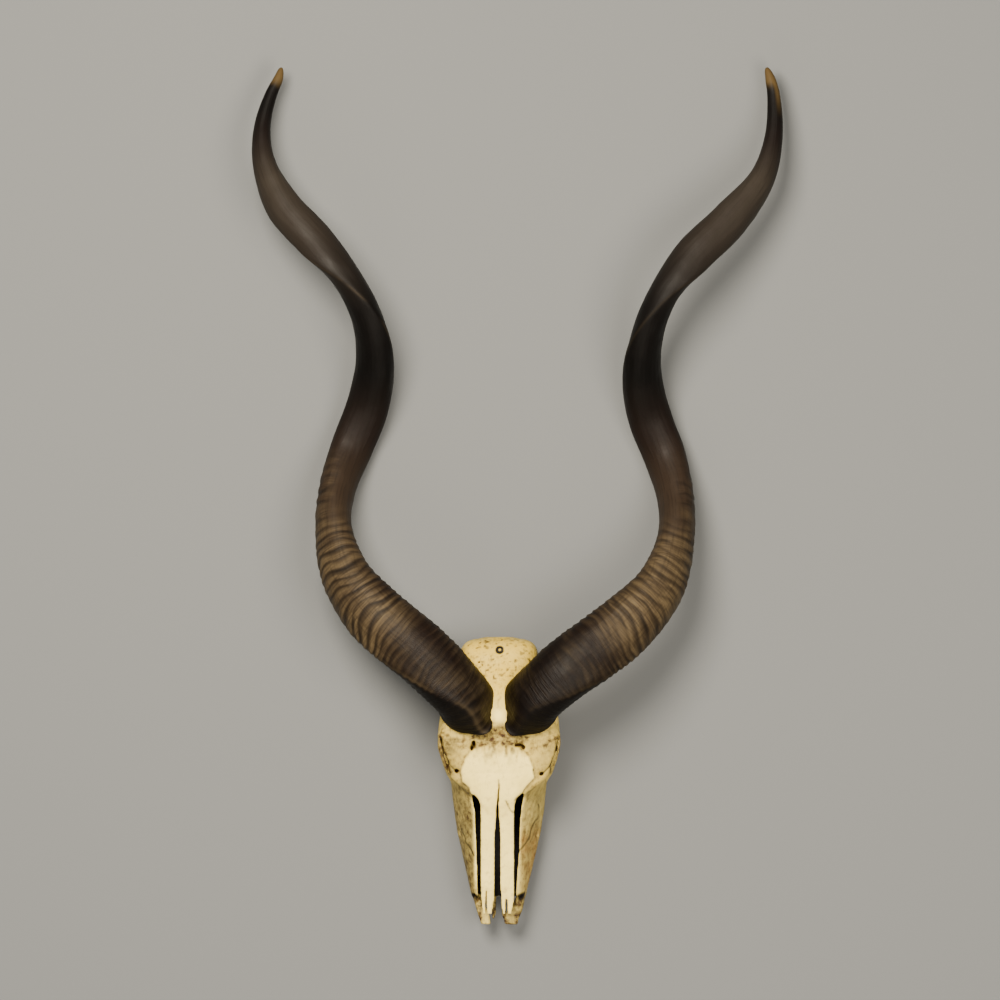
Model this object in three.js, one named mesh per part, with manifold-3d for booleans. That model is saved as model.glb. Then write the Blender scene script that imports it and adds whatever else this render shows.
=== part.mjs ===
// Greater kudu skull, lying face up on its cheek teeth and on the lower bends of its two horns.
// Millimetres, +Z up, the nose towards -Y and the horn tips towards +Y.

import * as THREE from "three";
import { mergeVertices } from "three/addons/utils/BufferGeometryUtils.js";
import Module from "manifold-3d";

const wasm = await Module();
wasm.setup();

// Driving dimensions. Before the last step, y = 0 is the level of the horn bases on the forehead.
const ORBIT_HALF_WIDTH = 80;
const NOSE_TIP_Y = -296;
const CREST_Y = 82;
const PALATE_Z = 26;
const GAP = 0.4;
const ORBIT = { x: 72, y: -71, z: 79, radius: 25, rim: 4.5 };
const ROOF_GAP = 28.5;
const RIDGED_LENGTH = 440;
const RIDGE_PITCH = 16;
const RIDGE_HEIGHT = 1.4;
const SMOOTH_STEP = 34;
const HORN_SIDES = 14;

const bone = new THREE.MeshStandardMaterial({ color: 0xe9dcb4, roughness: 0.75, metalness: 0 });
const enamel = new THREE.MeshStandardMaterial({ color: 0xd8cdb0, roughness: 0.35, metalness: 0 });
const keratin = new THREE.MeshStandardMaterial({ color: 0x352a20, roughness: 0.5, metalness: 0 });

// Shared shaping helpers

const radians = (degrees) => (degrees * Math.PI) / 180;

const curveThrough = (points) => new THREE.CatmullRomCurve3(points.map((p) => new THREE.Vector3(...p)));

// Shares the vertices of a geometry and turns its faces outwards.
function closed(geometry) {
  geometry.deleteAttribute("normal");
  geometry.deleteAttribute("uv");
  const merged = mergeVertices(geometry, 1e-5);
  const index = merged.index.array;
  const [a, b, c] = [0, 1, 2].map(() => new THREE.Vector3());
  let volume = 0;
  for (let i = 0; i < index.length; i += 3) {
    a.fromBufferAttribute(merged.attributes.position, index[i]);
    b.fromBufferAttribute(merged.attributes.position, index[i + 1]);
    c.fromBufferAttribute(merged.attributes.position, index[i + 2]);
    volume += a.dot(b.cross(c));
  }
  if (volume < 0) {
    for (let i = 0; i < index.length; i += 3) {
      [index[i], index[i + 1]] = [index[i + 1], index[i]];
    }
  }
  return merged;
}

// Bends a closed cylinder: place(ring, angle) gives the point of each ring, and cap(ring) its middle.
function bentCylinder(sides, rings, place, cap) {
  const geometry = new THREE.CylinderGeometry(1, 1, 1, sides, rings - 1);
  const position = geometry.attributes.position;
  for (let i = 0; i < position.count; i += 1) {
    const ring = Math.round((0.5 - position.getY(i)) * (rings - 1));
    const onAxis = Math.hypot(position.getX(i), position.getZ(i)) < 0.5;
    const side = Math.round((Math.atan2(position.getX(i), position.getZ(i)) / (2 * Math.PI)) * sides);
    const angle = (((side + sides) % sides) / sides) * 2 * Math.PI;
    const point = onAxis ? cap(ring) : place(ring, angle);
    position.setXYZ(i, point.x, point.y, point.z);
  }
  return closed(geometry);
}

// A bone whose sections stand across Y. Each station is [x, y, z, half width, half height, squareness,
// taper]: squareness 2 is an ellipse and 4 nearly a box, and taper narrows the top and widens the foot.
function boneAlongY(stations, sides = 14, steps = 2) {
  const middle = curveThrough(stations.map((s) => [s[0], s[1], s[2]]));
  const size = curveThrough(stations.map((s) => [s[3], s[4], 0]));
  const form = curveThrough(stations.map((s) => [s[5] ?? 2.4, s[6] ?? 0, 0]));
  const rings = (stations.length - 1) * steps + 1;
  const at = (ring) => ring / (rings - 1);
  const place = (ring, angle) => {
    const half = size.getPoint(at(ring));
    const shape = form.getPoint(at(ring));
    const bow = (value) => Math.sign(value) * Math.abs(value) ** (2 / shape.x);
    const up = bow(Math.sin(angle));
    const across = bow(Math.cos(angle)) * (1 - shape.y * up);
    return new THREE.Vector3(half.x * across, 0, half.y * up).add(middle.getPoint(at(ring)));
  };
  return bentCylinder(sides, rings, place, (ring) => middle.getPoint(at(ring)));
}

// A bar of oval section that follows any route. Each station is [x, y, z, half thickness, half depth].
function bar(stations, sides = 8, steps = 2) {
  const route = curveThrough(stations.map((s) => [s[0], s[1], s[2]]));
  const size = curveThrough(stations.map((s) => [s[3], s[4], 0]));
  const rings = (stations.length - 1) * steps + 1;
  const at = (ring) => ring / (rings - 1);
  const place = (ring, angle) => {
    const tangent = route.getTangent(at(ring));
    const across = new THREE.Vector3(1, 0, 0).addScaledVector(tangent, -tangent.x).normalize();
    const along = new THREE.Vector3().crossVectors(tangent, across);
    const half = size.getPoint(at(ring));
    return route
      .getPoint(at(ring))
      .addScaledVector(across, half.x * Math.cos(angle))
      .addScaledVector(along, half.y * Math.sin(angle));
  };
  return bentCylinder(sides, rings, place, (ring) => route.getPoint(at(ring)));
}

function ball(x, y, z, rx, ry, rz, detail = 10) {
  const geometry = new THREE.SphereGeometry(1, detail, Math.round(detail * 0.7));
  return closed(geometry.scale(rx, ry, rz).translate(x, y, z));
}

function block(x0, x1, y0, y1, z0, z1) {
  const geometry = new THREE.BoxGeometry(x1 - x0, y1 - y0, z1 - z0);
  return closed(geometry.translate((x0 + x1) / 2, (y0 + y1) / 2, (z0 + z1) / 2));
}

const mirrored = (geometry) => closed(geometry.clone().scale(-1, 1, 1));

const bothSides = (geometry) => [geometry, mirrored(geometry)];

// Joining and cutting

function solid(geometry) {
  return new wasm.Manifold(
    new wasm.Mesh({
      numProp: 3,
      vertProperties: new Float32Array(geometry.attributes.position.array),
      triVerts: new Uint32Array(geometry.index.array),
    }),
  );
}

const joined = (geometries) => geometries.map(solid).reduce((whole, piece) => whole.add(piece));

function geometryOf(manifold) {
  const mesh = manifold.getMesh();
  const geometry = new THREE.BufferGeometry();
  geometry.setAttribute("position", new THREE.BufferAttribute(mesh.vertProperties, 3));
  geometry.setIndex(new THREE.BufferAttribute(mesh.triVerts, 1));
  return geometry;
}

// Horns

// Stations of the horn's middle line, base first: [outward from the skull's midline, y, z, half of the
// long axis, half of the short axis, turn of the long axis, turn of the keel]. A turn of 0 faces up and
// 90 faces outwards, and it grows as the horn winds.
const LEFT_HORN = [
  [43, -12, 108, 43, 35, -10, -35],
  [51, 8, 133, 43, 35, 25, 0],
  [77, 39, 149, 42.5, 34, 62, 40],
  [116, 75, 151, 41.5, 32, 82, 68],
  [162, 115, 141, 40, 31, 98, 95],
  [201, 165, 114, 35, 28, 125, 125],
  [217, 226, 78, 33, 24.5, 168, 165],
  [211, 282, 46, 31, 24, 205, 195],
  [194, 330, 28, 30, 23.5, 240, 215],
  [174, 381, 36, 29, 22.5, 268, 240],
  [164, 437, 66, 27.5, 21.5, 305, 268],
  [172, 498, 97, 26.5, 20.5, 338, 320],
  [200, 554, 114, 26, 20, 372, 375],
  [241, 603, 112, 25.5, 19.5, 430, 435],
  [282, 648, 96, 24, 19, 462, 462],
  [307, 700, 75, 18, 15.5, 500, 490],
  [311, 749, 56, 13.5, 12, 535, 520],
  [300, 793, 44, 8.5, 8, 560, 540],
  [285, 829, 38, 1.2, 1.2, 580, 555],
];
const RIGHT_HORN = [
  [43, -12, 108, 43, 35, -10, -35],
  [51, 6, 133, 43, 35, 25, 0],
  [78, 33, 149, 42.5, 34, 62, 40],
  [116, 62, 151, 41.5, 32, 82, 68],
  [164, 100, 142, 40, 31, 98, 95],
  [211, 150, 117, 35.5, 28, 125, 125],
  [232, 213, 80, 33, 25, 168, 165],
  [231, 270, 47, 31, 24, 205, 195],
  [218, 319, 28, 30, 23.5, 240, 215],
  [200, 365, 34, 29.5, 23, 268, 240],
  [189, 419, 62, 28, 22, 305, 268],
  [194, 477, 95, 27, 21, 338, 320],
  [216, 533, 115, 26.5, 20.5, 372, 375],
  [254, 583, 113, 26, 20, 430, 435],
  [302, 630, 97, 25, 20, 462, 462],
  [346, 686, 75, 19.5, 16.5, 500, 490],
  [361, 743, 55, 14, 12.5, 535, 520],
  [358, 791, 43, 8.5, 8, 560, 540],
  [350, 830, 37, 1.2, 1.2, 580, 555],
];

// Lengths along the horn at which it has a ring: crests and troughs of the growth ridges on the lower
// part, then longer steps on the smooth part up to the tip.
function ringLengths(total) {
  const rings = [{ length: 0, ridge: 0 }];
  for (let length = RIDGE_PITCH; length < RIDGED_LENGTH; length += RIDGE_PITCH / 2) {
    const crest = rings.length % 2 === 0;
    const fade = 1 - 0.5 * (length / RIDGED_LENGTH) ** 2;
    rings.push({ length, ridge: crest ? RIDGE_HEIGHT * fade : -0.4 * RIDGE_HEIGHT * fade });
  }
  const smooth = Math.ceil((total - RIDGED_LENGTH) / SMOOTH_STEP);
  for (let i = 1; i <= smooth; i += 1) {
    rings.push({ length: RIDGED_LENGTH + ((total - RIDGED_LENGTH) * i) / smooth, ridge: 0 });
  }
  return rings;
}

// One horn, of a keeled oval section that turns as the middle line winds. A clearance swells it and
// carries its base face on, for the cut that it makes in the bone.
function horn(stations, side, clearance = 0) {
  const spine = curveThrough(stations.map((s) => [side * s[0], s[1], s[2]]));
  const girth = curveThrough(stations.map((s) => [s[3], s[4], 0]));
  const turns = curveThrough(stations.map((s) => [radians(s[5]), radians(s[6]), 0]));
  const total = spine.getLength();
  const rings = ringLengths(total);
  const place = (index, angle) => {
    const ring = rings[index];
    const t = spine.getUtoTmapping(ring.length / total);
    const tangent = spine.getTangent(t);
    const front = new THREE.Vector3(0, 0, 1).addScaledVector(tangent, -tangent.z).normalize();
    const outward = new THREE.Vector3().crossVectors(tangent, front).multiplyScalar(side);
    const half = girth.getPoint(t);
    const turn = turns.getPoint(t);
    const direction = turn.y + angle;
    const offAxis = direction - turn.x;
    const oval = (half.x * half.y) / Math.hypot(half.y * Math.cos(offAxis), half.x * Math.sin(offAxis));
    const fromKeel = Math.min(angle, 2 * Math.PI - angle);
    const keel = 0.09 * half.x * Math.exp(-((fromKeel / 0.3) ** 2));
    const radius = oval + keel + ring.ridge + clearance;
    const start = index === 0 ? -clearance : 0;
    return spine
      .getPoint(t)
      .addScaledVector(tangent, start)
      .addScaledVector(front, radius * Math.cos(direction))
      .addScaledVector(outward, radius * Math.sin(direction));
  };
  const cap = (index) => {
    const t = index === 0 ? 0 : 1;
    return spine.getPoint(t).addScaledVector(spine.getTangent(t), index === 0 ? -clearance : 1);
  };
  return bentCylinder(HORN_SIDES, rings.length, place, cap);
}

// The short bony stub that a horn stands on, a little smaller than the rim of the horn.
function pedicle(stations, side) {
  const spine = curveThrough(stations.map((s) => [side * s[0], s[1], s[2]]));
  const tangent = spine.getTangent(0);
  const at = (length) => spine.getPoint(0).addScaledVector(tangent, length);
  const [root, base] = [at(-32), at(-1)];
  return bar([[root.x, root.y, root.z, 30, 34], [base.x, base.y, base.z, 33, 41]], 14, 1);
}

// Rests a horn's lowest bend on the floor.
function heightAboveFloor(stations, side) {
  const geometry = horn(stations, side);
  geometry.computeBoundingBox();
  return geometry.boundingBox.min.z;
}

function rested(stations, side) {
  const height = heightAboveFloor(stations, side);
  return stations.map((s) => [s[0], s[1], s[2] - height, ...s.slice(3)]);
}

const hornLines = [
  { name: "horn_left", side: -1, stations: rested(LEFT_HORN, -1) },
  { name: "horn_right", side: 1, stations: rested(RIGHT_HORN, 1) },
];

// Cheek teeth

const TEETH = [
  { name: "premolar_1", length: 12, width: 11 },
  { name: "premolar_2", length: 14, width: 14 },
  { name: "premolar_3", length: 13, width: 16 },
  { name: "molar_1", length: 17, width: 18 },
  { name: "molar_2", length: 20, width: 19 },
  { name: "molar_3", length: 20, width: 18 },
];
const TOOTH_ROW_FRONT_Y = -208;
const TOOTH_HEIGHT = 24;

// A crown of two rounded columns, flat where it grinds, with a short root in the bone.
function tooth(kind, x, y, clearance = 0) {
  const top = kind.length / 2 + clearance;
  const half = kind.width / 2 + clearance;
  const waist = 0.86 * half;
  const shoulder = 0.72 * half;
  const outline = new THREE.Shape();
  outline.moveTo(-shoulder, -top);
  outline.lineTo(shoulder, -top);
  outline.lineTo(half, -top / 2);
  outline.lineTo(waist, 0);
  outline.lineTo(half, top / 2);
  outline.lineTo(shoulder, top);
  outline.lineTo(-shoulder, top);
  outline.lineTo(-half, top / 2);
  outline.lineTo(-waist, 0);
  outline.lineTo(-half, -top / 2);
  const settings = { depth: TOOTH_HEIGHT + clearance, bevelEnabled: false };
  return closed(new THREE.ExtrudeGeometry(outline, settings).translate(x, y, 0));
}

function toothRow(side) {
  let y = TOOTH_ROW_FRONT_Y;
  return TEETH.map((kind, index) => {
    y += kind.length / 2;
    const place = { kind, x: side * (37 + 2.1 * index), y };
    y += kind.length / 2 + GAP;
    return place;
  });
}

// Skull

// The box of the face: the two maxillae and the tooth rows, before it is hollowed.
const face = boneAlongY(
  [
    [0, -86, 74, 60, 38, 3, 0.1],
    [0, -102, 67, 60, 50, 3, 0.18],
    [0, -125, 61, 56, 49, 3, 0.28],
    [0, -150, 58, 52, 45, 3, 0.34],
    [0, -178, 54, 48, 41, 3, 0.34],
    [0, -204, 50, 44, 36, 3, 0.26],
    [0, -225, 48, 41, 28, 3, 0.18],
    [0, -246, 47, 37, 20, 3, 0.1],
    [0, -258, 46, 34, 16, 3, 0.06],
  ],
  16,
  1,
);

// The nasal cavity inside the face, and the long gap in its roof that the nasal bones lie in.
const nasalCavity = boneAlongY(
  [
    [0, -97, 70, 24, 24, 3, 0],
    [0, -110, 69, 44, 37, 3, 0.25],
    [0, -125, 67, 51, 36, 3, 0.3],
    [0, -150, 64, 47, 33, 3, 0.34],
    [0, -178, 60, 43, 29, 3, 0.34],
    [0, -204, 56, 39, 24, 3, 0.26],
    [0, -225, 52, 36, 18, 3, 0.18],
    [0, -246, 48, 32, 14, 3, 0.1],
    [0, -270, 47, 29, 13, 3, 0.06],
  ],
  12,
  1,
);
const roofGap = block(-ROOF_GAP, ROOF_GAP, NOSE_TIP_Y, -129, 58, 120);

// The arch of the hard palate, between the tooth rows.
const palateHollow = boneAlongY(
  [
    [0, -275, PALATE_Z - 24, 17, 26, 3, 0],
    [0, -205, PALATE_Z - 26, 24, 27, 3, 0],
    [0, -150, PALATE_Z - 26, 29, 26, 3, 0],
    [0, -95, PALATE_Z - 24, 30, 26, 3, 0],
    [0, -70, PALATE_Z - 4, 30, 24, 3, 0],
  ],
  12,
  1,
);

const frontal = boneAlongY(
  [
    [0, -137, 101, 20, 6],
    [0, -122, 102, 38, 10],
    [0, -102, 103, 62, 14],
    [0, -80, 106, 74, 16],
    [0, -60, 108, ORBIT_HALF_WIDTH, 17],
    [0, -44, 109, ORBIT_HALF_WIDTH - 1, 18],
    [0, -24, 108, 70, 22],
    [0, 0, 104, 54, 26],
    [0, 16, 98, 44, 24],
  ],
  16,
  1,
);

const braincase = boneAlongY(
  [
    [0, -34, 86, 38, 40],
    [0, 0, 85, 45, 43],
    [0, 30, 79, 49, 41],
    [0, 54, 71, 51, 37, 2.8],
    [0, 68, 66, 49, 34, 3],
    [0, 77, 61, 40, 29, 3],
    [0, CREST_Y, 58, 18, 24, 2.6],
  ],
  16,
  1,
);

const innerFace = boneAlongY(
  [
    [0, -112, 70, 26, 34],
    [0, -60, 76, 27, 34],
    [0, -10, 78, 36, 38],
  ],
  12,
  1,
);

const skullBase = boneAlongY(
  [
    [0, -70, 44, 9, 8],
    [0, 0, 40, 13, 9],
    [0, 74, 36, 17, 10],
  ],
  10,
  1,
);

function nasalBone(side) {
  return boneAlongY(
    [
      [side * 11, -118, 107, 10, 4],
      [side * 12, -150, 99, 9.5, 2.6],
      [side * 12.5, -200, 86, 9.5, 2.4],
      [side * 12.5, -250, 74, 9.5, 2.3],
      [side * 12.5, -270, 69, 8, 2.1],
      [side * 12.5, -279, 67, 5, 1.6],
    ],
    8,
    1,
  );
}

const premaxilla = boneAlongY(
  [
    [30, -236, 40, 4.5, 13],
    [27, -258, 41, 5, 10],
    [20, -278, 42, 6.5, 6],
    [14, NOSE_TIP_Y, 43, 6, 4],
  ],
  8,
  1,
);

const palateTongue = boneAlongY(
  [
    [7, -240, 31, 4, 3],
    [6.5, -272, 34, 3, 2.4],
    [7, -286, 38, 2.4, 2],
  ],
  6,
  1,
);

const cheekArch = bar(
  [
    [50, -116, 46, 5, 8],
    [64, -94, 47, 6, 12],
    [73, -68, 49, 4.5, 9],
    [75, -38, 54, 4, 9],
    [69, -6, 59, 4, 8],
    [44, 24, 60, 5, 9],
  ],
  8,
  1,
);

const postorbitalBar = bar(
  [
    [73, -47, 108, 6, 8],
    [74, -43, 82, 4, 5],
    [74, -42, 56, 4, 7],
  ],
  8,
);

const orbitRim = closed(
  new THREE.TorusGeometry(ORBIT.radius + 1, ORBIT.rim, 6, 16)
    .rotateY(radians(90))
    .rotateZ(radians(-14))
    .rotateY(radians(-8))
    .translate(ORBIT.x - 3, ORBIT.y, ORBIT.z),
);

const orbitHollow = ball(ORBIT.x + 4, ORBIT.y, ORBIT.z, 44, ORBIT.radius, ORBIT.radius - 1, 10);

const brainHollow = ball(0, 34, 78, 33, 40, 26, 8);

const condyle = ball(18, 66, 33, 12, 14, 15, 8);

const earBulla = ball(25, 30, 34, 10, 14, 11, 6);

const paroccipitalProcess = bar(
  [
    [38, 62, 52, 9, 12],
    [37, 68, 30, 5, 8],
    [35, 66, 14, 3, 4],
  ],
  6,
  1,
);

const pterygoidPlate = bar(
  [
    [19, -104, 40, 2.5, 12],
    [18, -76, 44, 2.2, 12],
    [15, -40, 46, 2.2, 8],
  ],
  6,
  1,
);

const spinalOpening = closed(
  new THREE.CylinderGeometry(13, 11, 50, 10).scale(1, 1, 0.85).translate(0, 76, 50),
);

const crownPit = closed(
  new THREE.CylinderGeometry(4.5, 4.5, 8, 8).rotateX(radians(90)).translate(1, 65, 103),
);

const nasalNotches = bothSides(block(11, 13.4, NOSE_TIP_Y, -252, 55, 90));

function skullSolid() {
  const hollowFace = solid(face).subtract(joined([nasalCavity, roofGap, palateHollow]));
  const teeth = [-1, 1].flatMap((side) => toothRow(side).map((t) => tooth(t.kind, t.x, t.y, GAP)));
  const nasals = joined([nasalBone(-1), nasalBone(1)]).subtract(joined(nasalNotches));
  const roof = joined([
    frontal,
    braincase,
    innerFace,
    skullBase,
    ...hornLines.map((line) => pedicle(line.stations, line.side)),
  ]).subtract(joined(bothSides(orbitHollow)));
  const arches = joined(
    [cheekArch, postorbitalBar, orbitRim, premaxilla, palateTongue, condyle, earBulla,
      paroccipitalProcess, pterygoidPlate].flatMap(bothSides),
  );
  return hollowFace
    .subtract(joined(bothSides(orbitHollow)))
    .add(roof)
    .add(arches)
    .add(nasals)
    .subtract(joined(hornLines.map((line) => horn(line.stations, line.side, GAP))))
    .subtract(joined(teeth))
    .subtract(joined([brainHollow, spinalOpening, crownPit]));
}

// Assembly

function piece(name, geometry, material) {
  const mesh = new THREE.Mesh(geometry, material);
  mesh.name = name;
  return mesh;
}

const kuduSkull = new THREE.Group();
kuduSkull.add(piece("skull", geometryOf(skullSolid()), bone));
for (const line of hornLines) {
  kuduSkull.add(piece(line.name, horn(line.stations, line.side), keratin));
}
for (const [side, word] of [[-1, "left"], [1, "right"]]) {
  for (const place of toothRow(side)) {
    kuduSkull.add(piece(`${place.kind.name}_${word}`, tooth(place.kind, place.x, place.y), enamel));
  }
}

// The origin is in the middle of what the object covers, on the floor.
const box = new THREE.Box3().setFromObject(kuduSkull);
kuduSkull.position.set(-(box.min.x + box.max.x) / 2, -(box.min.y + box.max.y) / 2, -box.min.z);

export default kuduSkull;
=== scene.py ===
# %% [markdown]
# # A greater kudu skull, lying face up
# The object is one weathered skull with two spiral horns and twelve cheek teeth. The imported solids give
# every size and place. This lesson grows the fine surfaces over them: bone from a field of blended
# forms, horns from long sweeps, and teeth from small lobed crowns. All lengths are millimetres until a
# mesh is made, and then they become metres.

# %% Load the frame
import math
from types import SimpleNamespace

import bpy
import numpy as np
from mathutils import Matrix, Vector


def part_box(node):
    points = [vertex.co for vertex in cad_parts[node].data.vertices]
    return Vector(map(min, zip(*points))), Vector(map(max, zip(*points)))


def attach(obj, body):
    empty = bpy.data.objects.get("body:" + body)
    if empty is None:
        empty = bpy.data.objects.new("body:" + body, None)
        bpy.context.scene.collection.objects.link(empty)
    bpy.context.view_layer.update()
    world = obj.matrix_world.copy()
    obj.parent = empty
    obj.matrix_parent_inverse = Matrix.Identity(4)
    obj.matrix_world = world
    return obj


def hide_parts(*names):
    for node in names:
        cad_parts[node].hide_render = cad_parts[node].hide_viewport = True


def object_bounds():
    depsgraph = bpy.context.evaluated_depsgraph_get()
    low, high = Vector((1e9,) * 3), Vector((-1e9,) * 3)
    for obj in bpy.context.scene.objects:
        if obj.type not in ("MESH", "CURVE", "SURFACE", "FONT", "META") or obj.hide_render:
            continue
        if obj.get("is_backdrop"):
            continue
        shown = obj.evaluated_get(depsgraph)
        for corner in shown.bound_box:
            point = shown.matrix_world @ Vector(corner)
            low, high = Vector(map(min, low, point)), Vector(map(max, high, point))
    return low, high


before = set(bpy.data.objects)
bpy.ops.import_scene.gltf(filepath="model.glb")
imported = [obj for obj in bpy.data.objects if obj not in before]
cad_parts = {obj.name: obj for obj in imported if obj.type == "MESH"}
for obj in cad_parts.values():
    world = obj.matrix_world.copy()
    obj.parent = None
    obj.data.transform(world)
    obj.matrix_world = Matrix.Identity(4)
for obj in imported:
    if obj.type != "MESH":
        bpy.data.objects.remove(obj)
cad_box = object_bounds()
MM = 0.001
print("solids:", sorted(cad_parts))

# %% [markdown]
# The solids stand in a frame whose origin is under the middle of the whole object. The skull is easier
# to think about from its own midline, with y = 0 at the horn bases. The box of the skull's solid says
# how far apart the two frames are: its middle is the midline, and its front is the tip of the nose.

# %% From the skull's own millimetres to the frame
NOSE_TIP_Y = -296
skull_low, skull_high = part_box("skull")
SHIFT = np.array([(skull_low[0] + skull_high[0]) / 2 / MM, skull_low[1] / MM - NOSE_TIP_Y, 0.0])
print("shift in mm:", SHIFT.round(2))

# %% [markdown]
# ## Camera
# The photograph looks squarely at the face of the skull, so here, where the skull lies down, the camera
# looks straight down. One picture point is 1.31 mm at the height of the horns' middle. The lens is very
# long and far away, because a near one would spread the high bends of the horns and shrink the low ones.

# %% Camera
PIXEL = 1.31
PICTURE = 1000
MIDLINE_PX, HORN_BASE_PX = 499, 700
CAMERA_DISTANCE = 15000
SENSOR_WIDTH = 36
FOCUS_HEIGHT = 80


def from_pixel(px, py):
    """The place in the skull's millimetres of a point of the picture."""
    return (px - MIDLINE_PX) * PIXEL, (HORN_BASE_PX - py) * PIXEL


middle_x, middle_y = from_pixel(PICTURE / 2, PICTURE / 2)
lens = bpy.data.cameras.new("camera")
lens.sensor_width = SENSOR_WIDTH
lens.lens = SENSOR_WIDTH * CAMERA_DISTANCE / (PICTURE * PIXEL)
camera = bpy.data.objects.new("camera", lens)
bpy.context.scene.collection.objects.link(camera)
camera.location = Vector(
    ((middle_x + SHIFT[0]) * MM, (middle_y + SHIFT[1]) * MM, (FOCUS_HEIGHT + CAMERA_DISTANCE) * MM)
)
bpy.context.scene.camera = camera
print("focal length:", round(lens.lens, 1), "mm")

# %% [markdown]
# ## Smooth noise
# Bone and horn are never regular. One noise function is enough for all of it: random heights on a
# lattice, blended smoothly. Its only scale is the size of its lumps in millimetres. Two small functions
# say where a mark begins and ends: an even ramp, and a bell that is 1 on a line and fades beside it.

# %% Noise on points
LATTICE_KEYS = np.array([73856093, 19349663, 83492791])
SEED_KEY, SCRAMBLE = 7919, 1274126177


def noise(points, size, seed=0):
    """Smooth noise from -1 to 1 at each point, with lumps about as large as size."""
    spot = points / size
    cell = np.floor(spot).astype(np.int64)
    part = spot - cell
    part = part * part * (3 - 2 * part)
    total = np.zeros(len(points))
    for corner in range(8):
        step = np.array([corner & 1, corner >> 1 & 1, corner >> 2 & 1])
        key = ((cell + step) * LATTICE_KEYS).sum(1) + seed * SEED_KEY
        key = (key ^ (key >> 13)) * SCRAMBLE
        height = ((key ^ (key >> 16)) & 0xFFFF) / 32767.5 - 1
        total += height * np.where(step, part, 1 - part).prod(1)
    return total


def smooth(low, high, value):
    """0 at low, 1 at high, and an even ramp between them."""
    t = np.clip((value - low) / (high - low), 0, 1)
    return t * t * (3 - 2 * t)


def bell(offset, width):
    """1 at no offset, falling to almost 0 at twice the width."""
    return np.exp(-((offset / width) ** 2))


print("noise sample:", noise(np.array([[1.0, 2.0, 3.0]]), 5).round(3))

# %% [markdown]
# ## Curves through stations
# The solids bend their pieces along centripetal Catmull-Rom curves. The same curve is used here, so the
# fine surfaces lie on the solids and not beside them.

# %% Catmull-Rom curves
def curve_points(stations, samples):
    """Points of a centripetal Catmull-Rom curve, with the same number of samples in every span."""
    knots = np.array(stations, float)
    first = 2 * knots[0] - knots[1]
    last = 2 * knots[-1] - knots[-2]
    knots = np.vstack([first, knots, last])
    t = np.linspace(0, len(knots) - 3, samples)
    span = np.minimum(t.astype(int), len(knots) - 4)
    weight = (t - span)[:, None]
    p0, p1, p2, p3 = (knots[span + i] for i in range(4))

    def gap(a, b):
        return np.maximum(((a - b) ** 2).sum(1), 1e-8)[:, None] ** 0.25

    d0, d1, d2 = gap(p0, p1), gap(p1, p2), gap(p2, p3)
    d0 = np.where(d0 < 1e-4, d1, d0)
    d2 = np.where(d2 < 1e-4, d1, d2)
    t1 = ((p1 - p0) / d0 - (p2 - p0) / (d0 + d1) + (p2 - p1) / d1) * d1
    t2 = ((p2 - p1) / d1 - (p3 - p1) / (d1 + d2) + (p3 - p2) / d2) * d1
    w2, w3 = weight**2, weight**3
    return p1 + t1 * weight + (3 * (p2 - p1) - 2 * t1 - t2) * w2 + (2 * (p1 - p2) + t1 + t2) * w3


print("middle of a test curve:", curve_points([[0, 0], [1, 1], [2, 0]], 3)[1])

# %% [markdown]
# ## Meshes from arrays
# Every piece arrives as an array of points and a list of faces. Extra numbers per point, such as how
# stained or cracked the bone is there, travel along as colour attributes that the materials read. Horns
# and teeth are rings of points, so one function makes the faces of both.

# %% Mesh helpers
FORWARD, BACKWARD, BACKWARD_FROM_FIRST = (0, 1, 2, 3), (3, 2, 1, 0), (0, 3, 2, 1)


def make_piece(name, points, faces, layers):
    """A smooth-shaded object in the frame's metres. A layer has up to three numbers for each point."""
    mesh = bpy.data.meshes.new(name)
    mesh.from_pydata(((points + SHIFT) * MM).tolist(), [], faces)
    mesh.polygons.foreach_set("use_smooth", np.ones(len(mesh.polygons), bool))
    for layer_name, columns in layers.items():
        colours = np.zeros((len(points), 4), np.float32)
        colours[:, : len(columns)] = np.clip(np.stack(columns, 1), 0, 1)
        colours[:, 3] = 1
        layer = mesh.color_attributes.new(layer_name, "FLOAT_COLOR", "POINT")
        layer.data.foreach_set("color", colours.ravel())
    mesh.validate()
    piece = bpy.data.objects.new(name, mesh)
    bpy.context.scene.collection.objects.link(piece)
    print(name, len(points), "points", len(faces), "faces")
    return piece


def tube_faces(rings, sides, winding):
    """Faces between rings of points and over both ends. winding is the order of a face's corners."""
    ring, step = np.meshgrid(np.arange(rings - 1), np.arange(sides), indexing="ij")
    here, beside = ring * sides + step, ring * sides + (step + 1) % sides
    corners = (here, beside, beside + sides, here + sides)
    quads = np.stack([corners[i] for i in winding], -1).reshape(-1, 4).tolist()
    first, last = list(range(sides)), list(range((rings - 1) * sides, rings * sides))
    return quads + ([first[::-1], last] if winding == FORWARD else [first, last[::-1]])


def point_normals(points, quads):
    """The outward direction at each point of a mesh of four-sided faces."""
    across = points[quads[:, 2]] - points[quads[:, 0]]
    along = points[quads[:, 3]] - points[quads[:, 1]]
    facing = np.cross(across, along)
    total = np.zeros_like(points)
    for corner in range(4):
        for axis in range(3):
            total[:, axis] += np.bincount(quads[:, corner], facing[:, axis], len(points))
    return total / np.maximum(np.linalg.norm(total, axis=1), 1e-9)[:, None]


print("faces of a small tube:", len(tube_faces(3, 4, FORWARD)))

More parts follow.
